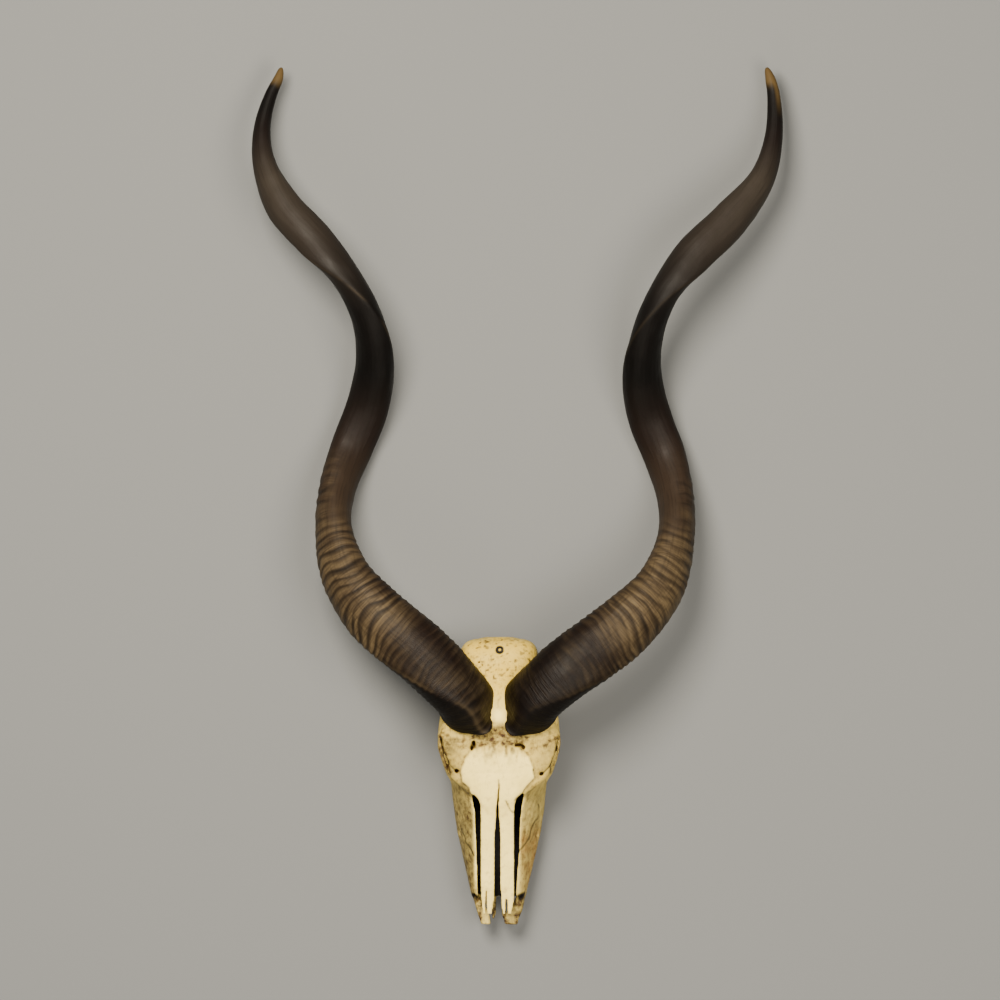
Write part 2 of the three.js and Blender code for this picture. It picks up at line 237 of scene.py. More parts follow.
# %% [markdown]
# ## Horns
# A kudu's horn is a sheath of keratin over a bony core. It grows from its base, and every season leaves
# a ridge, so the lower part is ringed and the older upper part is worn smooth. It winds because one side
# grows faster than the other, and a keel runs up it like the thread of a screw. Each horn is one sweep
# of a keeled oval along a curve through stations measured from the picture.

# %% Horn stations
# Each row: outward, y, z, half of the long axis, half of the short axis, turn of the long axis and turn
# of the keel. A turn of 0 faces up and 90 faces outwards.
LEFT_HORN = [
    [43, -12, 108, 43, 35, -10, -20],
    [51, 8, 133, 43, 35, 25, 0],
    [77, 39, 149, 42.5, 34, 62, 40],
    [116, 75, 151, 41.5, 32, 82, 68],
    [162, 115, 141, 40, 31, 98, 95],
    [201, 165, 114, 35, 28, 125, 125],
    [217, 226, 78, 33, 24.5, 168, 165],
    [211, 282, 46, 31, 24, 205, 195],
    [194, 330, 28, 30, 23.5, 240, 215],
    [174, 381, 36, 29, 22.5, 268, 240],
    [164, 437, 66, 27.5, 21.5, 305, 268],
    [172, 498, 97, 26.5, 20.5, 338, 320],
    [200, 554, 114, 26, 20, 372, 375],
    [241, 603, 112, 25.5, 19.5, 430, 435],
    [282, 648, 96, 24, 19, 462, 462],
    [307, 700, 75, 18, 15.5, 500, 490],
    [311, 749, 56, 13.5, 12, 535, 520],
    [300, 793, 44, 9.4, 8.8, 560, 540],
    [290, 815, 40, 7.2, 6.8, 572, 549],
    [286.4, 827.5, 38, 3.8, 3.6, 578, 554],
    [285.6, 830, 37.6, 1.6, 1.6, 580, 555],
]
RIGHT_HORN = [
    [43, -12, 108, 43, 35, -10, -20],
    [51, 6, 133, 43, 35, 25, 0],
    [78, 33, 149, 42.5, 34, 62, 40],
    [116, 62, 151, 41.5, 32, 82, 68],
    [164, 100, 142, 40, 31, 98, 95],
    [211, 150, 117, 35.5, 28, 125, 125],
    [232, 213, 80, 33, 25, 168, 165],
    [231, 270, 47, 31, 24, 205, 195],
    [218, 319, 28, 30, 23.5, 240, 215],
    [200, 365, 34, 29.5, 23, 268, 240],
    [189, 419, 62, 28, 22, 305, 268],
    [194, 477, 95, 27, 21, 338, 320],
    [216, 533, 115, 26.5, 20.5, 372, 375],
    [254, 583, 113, 26, 20, 430, 435],
    [302, 630, 97, 25, 20, 462, 462],
    [346, 686, 75, 19.5, 16.5, 500, 490],
    [361, 743, 55, 14, 12.5, 535, 520],
    [361, 791, 43, 10.2, 9.4, 560, 540],
    [357, 813, 40, 8, 7.6, 572, 549],
    [352.4, 827.5, 38, 4, 3.8, 578, 554],
    [351.4, 830, 37.6, 1.7, 1.7, 580, 555],
]
HORN_SIDES = 128
RIDGED_TO = 345
HALF_RIDGED_TO = 455
FINE_STEP, COARSE_STEP = 1.45, 2.6
BASE_CORNER, BASE_INNER = math.radians(-18), math.radians(-82)
print("stations:", len(LEFT_HORN), len(RIGHT_HORN))

# %% [markdown]
# The sweep has a ring of points every millimetre or two where the ridges are, and wider ones above. Each
# ring is a slanted oval with a keel, square to the line of the horn.

# %% Horn sweep
SPINE_SAMPLES = 3000
KEEL_HEIGHT, KEEL_WIDTH = 0.09, 0.3


def horn_lengths(total):
    """The lengths along the horn at which it has a ring of points."""
    fine = np.arange(0, HALF_RIDGED_TO + 60, FINE_STEP)
    coarse = np.arange(fine[-1] + COARSE_STEP, total, COARSE_STEP)
    return np.append(np.concatenate([fine, coarse]), total)


def sweep(stations, side):
    """The plain horn: for every point its middle, its ray, its radius and where on the horn it is."""
    line = np.array(stations, float)
    line[:, 0] *= side
    spine = curve_points(line[:, :3], SPINE_SAMPLES)
    run = np.r_[0, np.cumsum(np.linalg.norm(np.diff(spine, axis=0), axis=1))]
    lengths = horn_lengths(run[-1])

    def at(values):
        return np.stack([np.interp(lengths, run, column) for column in values.T], 1)

    centre = at(spine)
    long, short = at(curve_points(line[:, 3:5], SPINE_SAMPLES)).T[..., None]
    oval_turn, keel_turn = at(curve_points(np.radians(line[:, 5:7]), SPINE_SAMPLES)).T[..., None]
    tangent = np.gradient(centre, lengths, axis=0)
    tangent /= np.linalg.norm(tangent, axis=1)[:, None]
    front = np.array([0, 0, 1]) - tangent * tangent[:, 2:3]
    front /= np.linalg.norm(front, axis=1)[:, None]
    outward = np.cross(tangent, front) * side

    angle = np.linspace(0, 2 * np.pi, HORN_SIDES, endpoint=False)[None, :]
    direction = keel_turn + angle
    up, out = np.cos(direction), np.sin(direction)
    off_axis = direction - oval_turn
    oval = long * short / np.hypot(short * np.cos(off_axis), long * np.sin(off_axis))
    from_keel = np.minimum(angle, 2 * np.pi - angle)
    radius = oval + KEEL_HEIGHT * long * bell(from_keel, KEEL_WIDTH)
    ray = front[:, None] * up[..., None] + outward[:, None] * out[..., None]
    plain = centre[:, None] + ray * radius[..., None]
    parts = {"length": lengths[:, None], "radius": radius, "direction": direction, "up": up, "out": out}
    parts |= {"angle": angle, "from_keel": from_keel}
    horn = SimpleNamespace(**{key: np.broadcast_to(part, up.shape).ravel() for key, part in parts.items()})
    horn.plain, horn.ray = plain.reshape(-1, 3), ray.reshape(-1, 3)
    horn.centre = np.repeat(centre, HORN_SIDES, axis=0)
    horn.rings, horn.total, horn.side = len(lengths), run[-1], side
    return horn


print("rings on a horn of 1200 mm:", len(horn_lengths(1200)))

# %% [markdown]
# The ridges are waves along the length whose crests wander and fade, because no ridge of a real horn is a
# clean ring. They are six to ten millimetres apart. The outer side stays ridged for longer than the rest.

# %% Growth ridges
def growth_ridges(horn):
    """Height of the growth ridges, how much of the horn there is ridged, and where their crests are."""
    pitch = 6.6 + 3.6 * horn.length / RIDGED_TO
    drift = 1.1 * noise(horn.plain, 60, 1) + 0.35 * noise(horn.plain, 21, 2)
    phase = 2 * np.pi * (horn.length / pitch + drift)
    wave = 0.75 * np.cos(phase) + 0.25 * np.cos(2 * phase + 1.2)
    around = 0.8 * np.c_[horn.up, horn.out]
    bunches = noise(np.c_[horn.length / 7.0, 0.7 * around], 1.0, 4)
    bunches += 0.5 * noise(np.c_[horn.length / 3.6, around], 1.0, 5)
    whole = 1 - smooth(RIDGED_TO - 60, RIDGED_TO + 25, horn.length)
    face = smooth(-0.1, 0.5, horn.out) * (1 - smooth(RIDGED_TO + 20, HALF_RIDGED_TO + 10, horn.length))
    amount = np.maximum(whole, face) * smooth(2, 12, horn.length)
    strength = 0.45 + 0.55 * smooth(-0.5, 0.5, noise(horn.plain, 38, 6))
    height = amount * (0.75 * strength * wave + 0.3 * bunches)
    return height, amount, np.clip(0.8 * wave * strength + 0.35 * bunches, -1, 1)


print("ridges end at", RIDGED_TO, "and", HALF_RIDGED_TO, "mm")

# %% [markdown]
# Two smaller reliefs sit on top: fine grain that runs the length of the horn, and shallow dents. The
# rim at the base rolls inwards, where the sheath ends on the bone, and two swellings there fill the
# corner towards the socket and the side towards the other horn.

# %% Horn relief
INSET = 1.0
RIM_ROLL, RIM_LENGTH = 3.2, 5
CORNER_HEIGHT, INNER_HEIGHT = 10, 8.2


def lump(direction, middle, width):
    """1 in one direction round the horn, falling to 0 away from it."""
    return bell(np.mod(direction - middle + np.pi, 2 * np.pi) - np.pi, width)


def horn_relief(horn, ridges):
    """How far the finished surface stands off the plain sweep. It is inset to stay inside the solid."""
    fibres = np.c_[horn.length / 55, 9 * horn.up, 9 * horn.out]
    grain = noise(fibres, 1.0, 8) + 0.6 * noise(fibres * 2.1, 1.0, 9)
    dents = noise(horn.plain, 21, 6) + 0.4 * noise(horn.plain, 8, 7)
    thin = np.minimum(1, horn.radius / 12)
    rim = RIM_ROLL * (1 - smooth(0, RIM_LENGTH, horn.length)) ** 2
    corner = CORNER_HEIGHT * lump(horn.direction, BASE_CORNER, 0.36) * np.exp(-horn.length / 16)
    inner = INNER_HEIGHT * lump(horn.direction, BASE_INNER, 0.65) * bell(horn.length - 14, 26)
    return corner + inner + (ridges + thin * (0.16 * grain + 0.3 * dents - INSET) - rim)


print("swellings at the base:", CORNER_HEIGHT, INNER_HEIGHT, "mm")

# %% [markdown]
# The horn's tones follow its life, and some follow the light. Wear has rubbed the middle of the ridged part
# to tan on its upper and outer side, a painted highlight makes the keel a pale line, painted shade darkens
# the hollow below the keel and the base, more on the right horn, and the last centimetres of the tip are
# polished to ochre. The right tip is ochre further down its outer side.

# %% Horn tones
def horn_tones(horn, ridged, crest):
    """Three layers for the keratin: crests, length and keel highlight; tan, ochre and ridges; painted shade
    below the keel and at the base.
    """
    right = horn.side > 0
    mottle = noise(horn.plain, 30, 11) + 0.6 * noise(horn.plain, 11, 12)
    worn = smooth(110, 185, horn.length) * (1 - smooth(270, 370, horn.length))
    worn *= 0.2 + 0.8 * smooth(-0.45, 0.55, 0.75 * horn.up + 0.65 * horn.out)
    tan = ridged * np.clip(0.1 + 0.62 * worn + 0.22 * mottle, 0, 1)
    to_tip = horn.total - horn.length
    ochre = 1 - smooth(16, 34, to_tip + 5 * mottle)
    if right:
        ochre += 0.8 * (1 - smooth(30, 75, to_tip)) * smooth(0.0, 0.6, horn.out)
    # Painted highlight: a thin pale line along the keel edge, fainter on the right horn and higher up.
    keel_highlight = bell(horn.from_keel, 0.06) * smooth(-0.7, 0.3, mottle)
    keel_highlight *= (0.25 if right else 0.55) + 0.45 * (1 - smooth(200, 400, horn.length))
    # Painted shade on the face below the keel, near the base.
    below_keel_shade = smooth(0.02, 0.14, horn.angle) * (1 - smooth(1.7, 2.3, horn.angle))
    below_keel_shade *= 1 - smooth(85, 175, horn.length)
    # Painted shade at the base, darker on the right horn, on the side away from the main light.
    base_shade = (1 - smooth(60, 190, horn.length)) * (0.62 if right else 0.18)
    tone = (0.5 + 0.5 * crest, horn.length / horn.total, keel_highlight)
    return {"tone": tone, "wear": (tan, ochre, ridged), "shade": (below_keel_shade, base_shade)}


print("layers on a horn: tone, wear, shade")

# %% [markdown]
# The finished horn is the plain sweep pushed out along its rays by the relief. It is lowered until its
# lowest bend touches the floor. The direction along its fibres travels with it, for the finish.

# %% Horn mesh
def make_horn(name, stations, side):
    """One horn. side is -1 on the left and 1 on the right."""
    horn = sweep(stations, side)
    ridges, ridged, crest = growth_ridges(horn)
    points = horn.centre + horn.ray * (horn.radius + horn_relief(horn, ridges))[:, None]
    points[:, 2] -= points[:, 2].min()
    faces = tube_faces(horn.rings, HORN_SIDES, FORWARD if side < 0 else BACKWARD)
    piece = make_piece(name, points, faces, horn_tones(horn, ridged, crest))
    run = piece.data.attributes.new("run", "FLOAT_VECTOR", "POINT")
    threads = np.c_[horn.length / 38, 11 * horn.up, 11 * horn.out]
    run.data.foreach_set("vector", threads.astype(np.float32).ravel())
    print(name, "length", round(horn.total), "mm")
    return piece


horn_left = make_horn("horn_left_sheath", LEFT_HORN, -1)
horn_right = make_horn("horn_right_sheath", RIGHT_HORN, 1)

# %% [markdown]
# ## Skull
# A skull is one grown bone with hollows, bars and thin plates that run into each other. Modelling that
# face by face is slow, so it is grown as a field: a block of numbers that say how far each point is from
# the bone, negative inside. Forms are blended in and cut out softly, and then the zero level becomes the
# mesh. The grid step is a little more than one picture point, so hardly anything finer would show, and
# it keeps the skull under 200,000 triangles.

# %% The field
GRID_STEP = 1.72
FIELD_LOW, FIELD_HIGH = (-87, -301, 7), (87, 88, 138)
axes = [np.arange(low, high, GRID_STEP) for low, high in zip(FIELD_LOW, FIELD_HIGH)]
field = np.full([len(axis) for axis in axes], 30.0)


def near(low, high, margin):
    """The cut of the grid around a box, and its coordinates."""
    cut = []
    for axis, first, last in zip(axes, low, high):
        start, stop = np.searchsorted(axis, [first - margin, last + margin])
        cut.append(slice(start, stop))
    x, y, z = (axis[part] for axis, part in zip(axes, cut))
    return tuple(cut), (x[:, None, None], y[None, :, None], z[None, None, :])


def grow(form, blend=4):
    """Adds a form to the bone with a fillet of about the size of blend."""
    low, high, distance = form
    cut, place = near(low, high, blend + 4)
    here, new = field[cut], distance(*place)
    overlap = np.maximum(blend - np.abs(here - new), 0)
    field[cut] = np.minimum(here, new) - overlap**2 / (4 * blend)


def hollow(form, blend=2):
    """Cuts a form out of the bone with a rounded edge."""
    low, high, distance = form
    cut, place = near(low, high, blend + 4)
    here, new = field[cut], -distance(*place)
    overlap = np.maximum(blend - np.abs(here - new), 0)
    field[cut] = np.maximum(here, new) + overlap**2 / (4 * blend)


print("grid:", field.shape)

# %% [markdown]
# Four kinds of form make the whole skull: a body along y whose cross-section changes from station to
# station, a bar that follows a curve, an egg and a ring. Each gives its box and a function for its
# distance, so only the grid near it has to be worked on.

# %% Forms
def body(stations):
    """A body along y. Stations: x, y, z, half width, half height, squareness and taper upwards."""
    rows = [list(row) + [2.4, 0][len(row) - 5 :] for row in stations]
    fine = curve_points(rows, 24 * len(rows))
    fine = fine[np.argsort(fine[:, 1])]
    mid_x, run_y, mid_z, half_x, half_z, square, taper = fine.T
    low = ((mid_x - half_x * 1.4).min(), run_y[0], (mid_z - half_z).min())
    high = ((mid_x + half_x * 1.4).max(), run_y[-1], (mid_z + half_z).max())

    def distance(x, y, z):
        sizes = (mid_x, mid_z, half_x, half_z, square, taper)
        cx, cz, wide, tall, k, lean = (np.interp(y, run_y, size) for size in sizes)
        up = (z - cz) / tall
        width = wide * (1 - lean * np.clip(up, -1, 1))
        across = np.abs(x - cx) / width
        up = np.abs(up)
        norm = np.maximum((across**k + up**k) ** (1 / k), 1e-3)
        slope = np.hypot((across / norm) ** (k - 1) / width, (up / norm) ** (k - 1) / tall)
        side = (norm - 1) / np.maximum(slope, 1e-3)
        beyond = np.maximum(run_y[0] - y, y - run_y[-1])
        return np.where(beyond > 0, np.hypot(np.maximum(side, 0), beyond), np.maximum(side, beyond))

    return low, high, distance


def bar(stations):
    """A bar along a curve. Stations: x, y, z, half thickness sideways and half depth."""
    fine = curve_points(stations, 9 * len(stations))
    spine, thick, deep = fine[:, :3], fine[:, 3], fine[:, 4]
    along = np.gradient(spine, axis=0)
    reach = 2 * np.linalg.norm(along, axis=1)
    along /= np.linalg.norm(along, axis=1)[:, None]
    sideways = np.array([1, 0, 0]) - along * along[:, :1]
    sideways /= np.linalg.norm(sideways, axis=1)[:, None]
    third = np.cross(along, sideways)
    widest = np.maximum(thick, deep)[:, None]

    def distance(x, y, z):
        best = np.full(np.broadcast_shapes(x.shape, y.shape, z.shape), 30.0)
        for i in range(len(spine)):
            offset = (x - spine[i, 0], y - spine[i, 1], z - spine[i, 2])
            thin = min(thick[i], deep[i])
            total = 0
            for direction, size in ((sideways, thick[i]), (third, deep[i]), (along, max(thin, reach[i]))):
                part = sum(offset[axis] * direction[i, axis] for axis in range(3)) / size
                total = total + part**2
            best = np.minimum(best, (np.sqrt(total) - 1) * thin)
        return best

    return (spine - widest).min(0), (spine + widest).max(0), distance


def egg(centre, radii):
    """A ball with three radii."""
    low = np.subtract(centre, radii)
    high = np.add(centre, radii)

    def distance(x, y, z):
        parts = [(value - c) / r for value, c, r in zip((x, y, z), centre, radii)]
        norm = np.sqrt(sum(part**2 for part in parts))
        slope = np.sqrt(sum((part / r) ** 2 for part, r in zip(parts, radii))) / np.maximum(norm, 1e-3)
        return (norm - 1) / np.maximum(slope, 1e-3)

    return low, high, distance


def ring(centre, facing, radius, tube):
    """A ring round an opening that faces the given way."""
    facing = np.array(facing) / np.linalg.norm(facing)
    reach = radius + tube

    def distance(x, y, z):
        offset = (x - centre[0], y - centre[1], z - centre[2])
        along = sum(o * f for o, f in zip(offset, facing))
        flat = np.sqrt(np.maximum(sum(o**2 for o in offset) - along**2, 0))
        return np.hypot(flat - radius, along) - tube

    return np.subtract(centre, reach), np.add(centre, reach), distance


def paired(form):
    """The same form on both sides of the midline."""
    low, high, distance = form
    return (-high[0], low[1], low[2]), high, lambda x, y, z: distance(np.abs(x), y, z)


print("forms: body, bar, egg, ring")

# %% [markdown]
# ### Face, forehead and braincase
# The big masses come first. The face is a tapering box that is hollow, because the breath passes through
# it, and its roof is open between the upper jaws. The thin nose bones cover only part of that opening.

# %% Big masses
FACE = [
    [0, -86, 74, 60, 38, 3, 0.1],
    [0, -102, 67, 60, 50, 3, 0.18],
    [0, -125, 61, 56, 49, 3, 0.28],
    [0, -150, 58, 52, 45, 3, 0.34],
    [0, -178, 54, 48, 41, 3, 0.34],
    [0, -204, 50, 44, 36, 3, 0.26],
    [0, -225, 48, 41, 28, 3, 0.18],
    [0, -246, 47, 37, 20, 3, 0.1],
    [0, -258, 46, 34, 16, 3, 0.06],
]
NASAL_CAVITY = [
    [0, -97, 70, 24, 24, 3, 0],
    [0, -110, 69, 44, 37, 3, 0.25],
    [0, -125, 67, 49, 36, 3, 0.3],
    [0, -150, 64, 44.8, 33, 3, 0.34],
    [0, -178, 60, 41, 29, 3, 0.34],
    [0, -204, 56, 37.4, 24, 3, 0.26],
    [0, -225, 52, 36, 18, 3, 0.18],
    [0, -246, 48, 32, 14, 3, 0.1],
    [0, -270, 47, 29, 13, 3, 0.06],
]
PALATE_HOLLOW = [
    [0, -275, 2, 17, 26, 3],
    [0, -205, 0, 24, 27, 3],
    [0, -150, 0, 29, 26, 3],
    [0, -95, 2, 30, 26, 3],
    [0, -70, 22, 30, 24, 3],
]
FRONTAL = [
    [0, -137, 101, 20, 6],
    [0, -122, 102, 38, 10],
    [0, -102, 103, 62, 14],
    [0, -80, 106, 74, 16],
    [0, -60, 108, 80, 17],
    [0, -44, 109, 79, 18],
    [0, -24, 108, 70, 22],
    [0, 0, 104, 54, 26],
    [0, 16, 98, 44, 24],
]
BRAINCASE = [
    [0, -34, 86, 38, 40],
    [0, 0, 85, 45, 43],
    [0, 30, 79, 49, 41],
    [0, 54, 71, 51, 37, 2.8],
    [0, 68, 66, 49, 34, 3],
    [0, 77, 61, 40, 29, 3],
    [0, 82, 58, 18, 24, 2.6],
]
INNER_FACE = [[0, -112, 70, 26, 34], [0, -60, 76, 27, 34], [0, -10, 78, 36, 38]]
SKULL_BASE = [[0, -70, 44, 9, 8], [0, 0, 40, 13, 9], [0, 74, 36, 17, 10]]

grow(body(FACE), 1)
hollow(body(PALATE_HOLLOW), 3)
grow(body(FRONTAL), 6)
grow(body(BRAINCASE), 10)
grow(body(INNER_FACE), 8)
grow(body(SKULL_BASE), 6)
print("share of the grid that is bone:", round(float((field < 0).mean()), 3))

# %% [markdown]
# ### Eye sockets, arches and the underside
# The socket is a ring of bone with a bar behind it, and the cheek arch passes below. Under the braincase
# are the parts that a neck and a jaw once moved against: two round condyles, ear bones and two spikes.

# %% Sockets and underside
ORBIT = (69, -71, 79)
ORBIT_FACING = (0.961, -0.242, 0.135)
CHEEK_ARCH = [
    [50, -116, 46, 5, 8],
    [64, -94, 47, 6, 12],
    [73, -68, 49, 4.5, 9],
    [75, -38, 54, 4, 9],
    [69, -6, 59, 4, 8],
    [44, 24, 60, 5, 9],
]
POSTORBITAL_BAR = [[73, -47, 104, 5, 8], [74, -43, 82, 4, 5], [73, -42, 56, 4, 7]]
grow(paired(ring(ORBIT, ORBIT_FACING, 26, 4.5)), 7)
hollow(paired(egg((76, -71, 79), (44, 24, 23))), 3)
hollow(paired(egg((66, -5, 76), (16, 44, 22))), 4)
grow(paired(bar(CHEEK_ARCH)), 3)
grow(paired(bar(POSTORBITAL_BAR)), 4)
grow(paired(egg((18, 66, 33), (12, 14, 15))), 4)
grow(paired(egg((25, 30, 34), (10, 14, 11))), 4)
grow(paired(bar([[38, 62, 52, 9, 12], [37, 68, 30, 5, 8], [35, 66, 16, 3, 4]])), 4)
grow(paired(bar([[19, -104, 40, 2.5, 12], [18, -76, 44, 2.2, 12], [15, -40, 46, 2.2, 8]])), 3)
hollow(egg((0, 34, 78), (33, 40, 26)), 1)
hollow(body([[0, 40, 50, 11, 11], [0, 94, 50, 13, 13]]), 3)
print("eye socket centre:", ORBIT)

# %% [markdown]
# ### Nose
# The roof of the nose is open on both sides of two long thin nose bones, and the openings are wide and
# black in the picture. The bones have parted along the middle, from a hairline at the forehead to a gap
# of eight millimetres at their forked tips. The right opening is the wider one at its upper end.

# %% Nose opening and nose bones
hollow(body(NASAL_CAVITY), 1)


def roof_opening(x, y, z):
    """The slot between the upper jaws. Its sides close in towards the nose tip, and its upper end slants."""
    left = np.interp(-y, [118, 126, 147, 202, 249, 300], [29, 34, 29.5, 27.2, 25.6, 25])
    right = np.interp(-y, [115, 124, 155, 199, 249, 300], [31, 33.4, 29.5, 28, 24.5, 24])
    side = np.where(x < 0, -x - left, x - right)
    end = 121 + np.maximum(33 - np.abs(x), 0)
    return np.maximum(side, np.maximum((y + end) * 0.8, 58 - z))


hollow(((-40, -300, 58), (40, -116, 120), roof_opening), 1.5)
for side in (-1, 1):
    nose_bone = [
        [side * 12, -104, 108.5, 12, 5],
        [side * 12.2, -124, 107.6, 11.5, 4.4],
        [side * 12.4, -140, 103, 10.4, 3.4],
        [side * 12.4, -156, 98, 9.7, 2.8],
        [side * 12.5, -200, 86, 9.6, 2.5],
        [side * 12.5, -250, 74, 9.4, 2.4],
        [side * 12.5, -270, 69, 8.2, 2.2],
        [side * 12.5, -281, 66.5, 5.5, 1.8],
    ]
    grow(body(nose_bone), 5)


def parting(x, y, z):
    """The gap between the nose bones, which widens towards the tip."""
    along, halves = [105, 116, 138, 157, 175, 206, 255, 300], [0.6, 1.0, 1.25, 2.0, 2.3, 2.9, 4.1, 4.3]
    half = np.interp(-y, along, halves)
    return np.maximum(np.abs(x) - half, np.maximum(y + 104, 60 - z))


hollow(((-8, -300, 60), (8, -104, 122), parting), 0.8)
NOTCHES = ((-15.2, -247, -284, 0.9), (11.8, -256, -286, 1.0))
for notch_x, start, end, half in NOTCHES:
    notch = [[notch_x, end, 68, half * 1.6, 9], [notch_x, start, 74, half * 0.5, 9]]
    hollow(body(notch), 0.6)
print("nose bones end at y", -281)

# %% [markdown]
# ### Tip of the upper jaw
# The upper jaws break off in dark splinters. Below and ahead of them lie the two bones that once carried
# the lip, each with a thin tongue that runs back over the palate.

# %% Tip of the jaw
LIP_BONES = [
    [[-31, -236, 40, 4.5, 13], [-28.5, -258, 41, 5, 10], [-22, -276, 42, 6.5, 6], [-18, -287, 43, 6, 3.6]],
    [[31, -236, 40, 4.5, 13], [29, -258, 41, 5, 10], [22.5, -276, 42, 8, 6], [17, -287, 43, 8, 3.6]],
]
LIP_ENDS = [
    [[-16.9, -295, 43, 6.2, 3.2, 4], [-18.5, -286, 43, 6.6, 4, 4], [-21, -277, 42.5, 6.6, 5, 4]],
    [[16.2, -295, 43, 8.6, 3.2, 4], [16.6, -286, 43, 8.8, 4, 4], [20, -277, 42.5, 8.4, 5, 4]],
]
for lip_bone, lip_end in zip(LIP_BONES, LIP_ENDS):
    grow(bar(lip_bone), 3)
    grow(body(lip_end), 2)
for side in (-1, 1):
    grow(bar([[side * 7, -240, 31, 4, 3], [side * 6.5, -272, 34, 3, 2.4], [side * 7, -286, 38, 2.4, 2]]), 3)
    for step in range(4):
        tip = (side * (37 - 3.2 * step), -259 - 4 * (step % 2), 56 - 2 * step)
        hollow(egg(tip, (1.3, 4.5 + step, 5)), 0.8)
grow(body([[0, -254, 28, 28, 3.5, 3], [0, -240, 28, 31, 3.5, 3], [0, -225, 27, 33, 3.5, 3]]), 3)
print("splinters per side: 4")

# %% [markdown]
# ### Marks on the bone
# Now come the small things that make it this skull: vessel holes above the eyes, tear duct holes, the
# ring-shaped pit on the crown, cracks on both jaws, and the seams where bones meet. A seam is a list of
# points seen from above, and each place on the bone knows how far it is from the nearest seam.

# %% Holes and pits
HOLES = [
    (-33, -57, 118, 2.6, 6),
    (-35.5, -62, 118, 2.2, 4.5),
    (26, -58, 121, 5.5, 2.4),
    (32, -61, 119, 2.6, 3.6),
    (-55, -92, 112, 2.6, 2.4),
    (55, -96, 111, 2.8, 2.6),
    (-26, 50, 114, 1.7, 1.7),
    (-22, 46, 115, 1.4, 1.4),
]
for x, y, z, wide, long in HOLES:
    hollow(egg((x, y, z), (wide, long, 12)), 1)
hollow(paired(egg((52, -175, 45), (14, 5, 3.5))), 2)
CROWN_RING = (1, 66, 100.6)
hollow(ring(CROWN_RING, (0, 0.25, 1), 3.9, 1.5), 0.8)
SOCKET_EDGE = [[[-76, -50], [-74, -60], [-69, -78], [-65, -94]], [[78, -48], [76, -58], [73, -74], [68, -90]]]
for edge in SOCKET_EDGE:
    hollow(bar([[x, y, 118, 1.3, 16] for x, y in edge]), 1.5)
print("holes:", len(HOLES))

# %% [markdown]
# Seams, cracks and the outline of the bleached plate are lists of corners in picture points, as one would
# trace them with a pencil. One function gives the distance to such lines, and another says how far inside
# an outline a place is.

# %% Seams and cracks seen from above
PLATE = [
    (471.5, 750), (465, 760), (461, 773), (463, 782), (470, 787), (471.5, 793), (475, 797),
    (477, 840), (476, 925), (520, 925), (518, 840), (516, 800), (523, 793), (527, 786),
    (534.5, 777), (533.5, 768), (528.5, 757), (523, 750), (512, 745), (499, 743), (484, 745),
]
SEAMS = [
    PLATE[2:7],
    PLATE[11:16],
    [(498.7, 779), (499.3, 788), (499, 800)],
    [(441, 752), (450, 764), (457, 771)],
    [(557, 752), (549, 766), (543, 773)],
    [(507, 800), (509.5, 806), (514, 812)],
]
CRACKS = [
    [(540, 804), (541, 812), (539, 817), (535, 826), (530, 840), (521, 851), (518, 857)],
    [(459, 815), (458, 821), (460, 828)],
    [(463, 829), (467, 841), (475, 855)],
]
# Lines beyond the rims above the sockets, where painted shade lies.
SOCKET_LINES = [
    [(440, 738), (442, 748), (447, 762), (449, 772)],
    [(560, 738), (558, 746), (556, 760), (552, 770)],
]


def from_lines(points, lines):
    """The distance in mm, seen from above, from each point to the nearest of the lines."""
    best = np.full(len(points), 99.0)
    flat = points[:, :2]
    for line in lines:
        corners = np.array([from_pixel(*corner) for corner in line])
        for start, stop in zip(corners[:-1], corners[1:]):
            way = stop - start
            t = np.clip(((flat - start) @ way) / (way @ way), 0, 1)
            best = np.minimum(best, np.linalg.norm(flat - start - t[:, None] * way, axis=1))
    return best


def inside(points, outline):
    """The distance in mm from each point to an outline seen from above, positive inside it."""
    corners = np.array([from_pixel(*corner) for corner in outline])
    within = np.zeros(len(points), bool)
    for (x0, y0), (x1, y1) in zip(corners, np.roll(corners, -1, axis=0)):
        level = (points[:, 1] < y0) != (points[:, 1] < y1)
        edge = x0 + (points[:, 1] - y0) * (x1 - x0) / (y1 - y0 or 1)
        within ^= level & (points[:, 0] < edge)
    return np.where(within, 1, -1) * from_lines(points, [outline + outline[:1]])


print("seams:", len(SEAMS), "cracks:", len(CRACKS))

# %% [markdown]
# The relief is put in where the field is close to zero, which is where the surface will be. Seams and
# cracks become grooves, the bleached plate is raised a little, the band in front of the horns is pitted,
# and the rest gets shallow dents. Lines are moved a little sideways by noise, so none looks ruled.

# %% Relief
def wander(points):
    """Small sideways shifts that make a drawn line look grown."""
    return np.c_[noise(points, 9, 21), noise(points, 9, 22), np.zeros(len(points))] * 1.6


def lengthwise(points, share):
    """Points squeezed along y, so that noise on them makes streaks along y."""
    return points * np.array([1, share, 1])


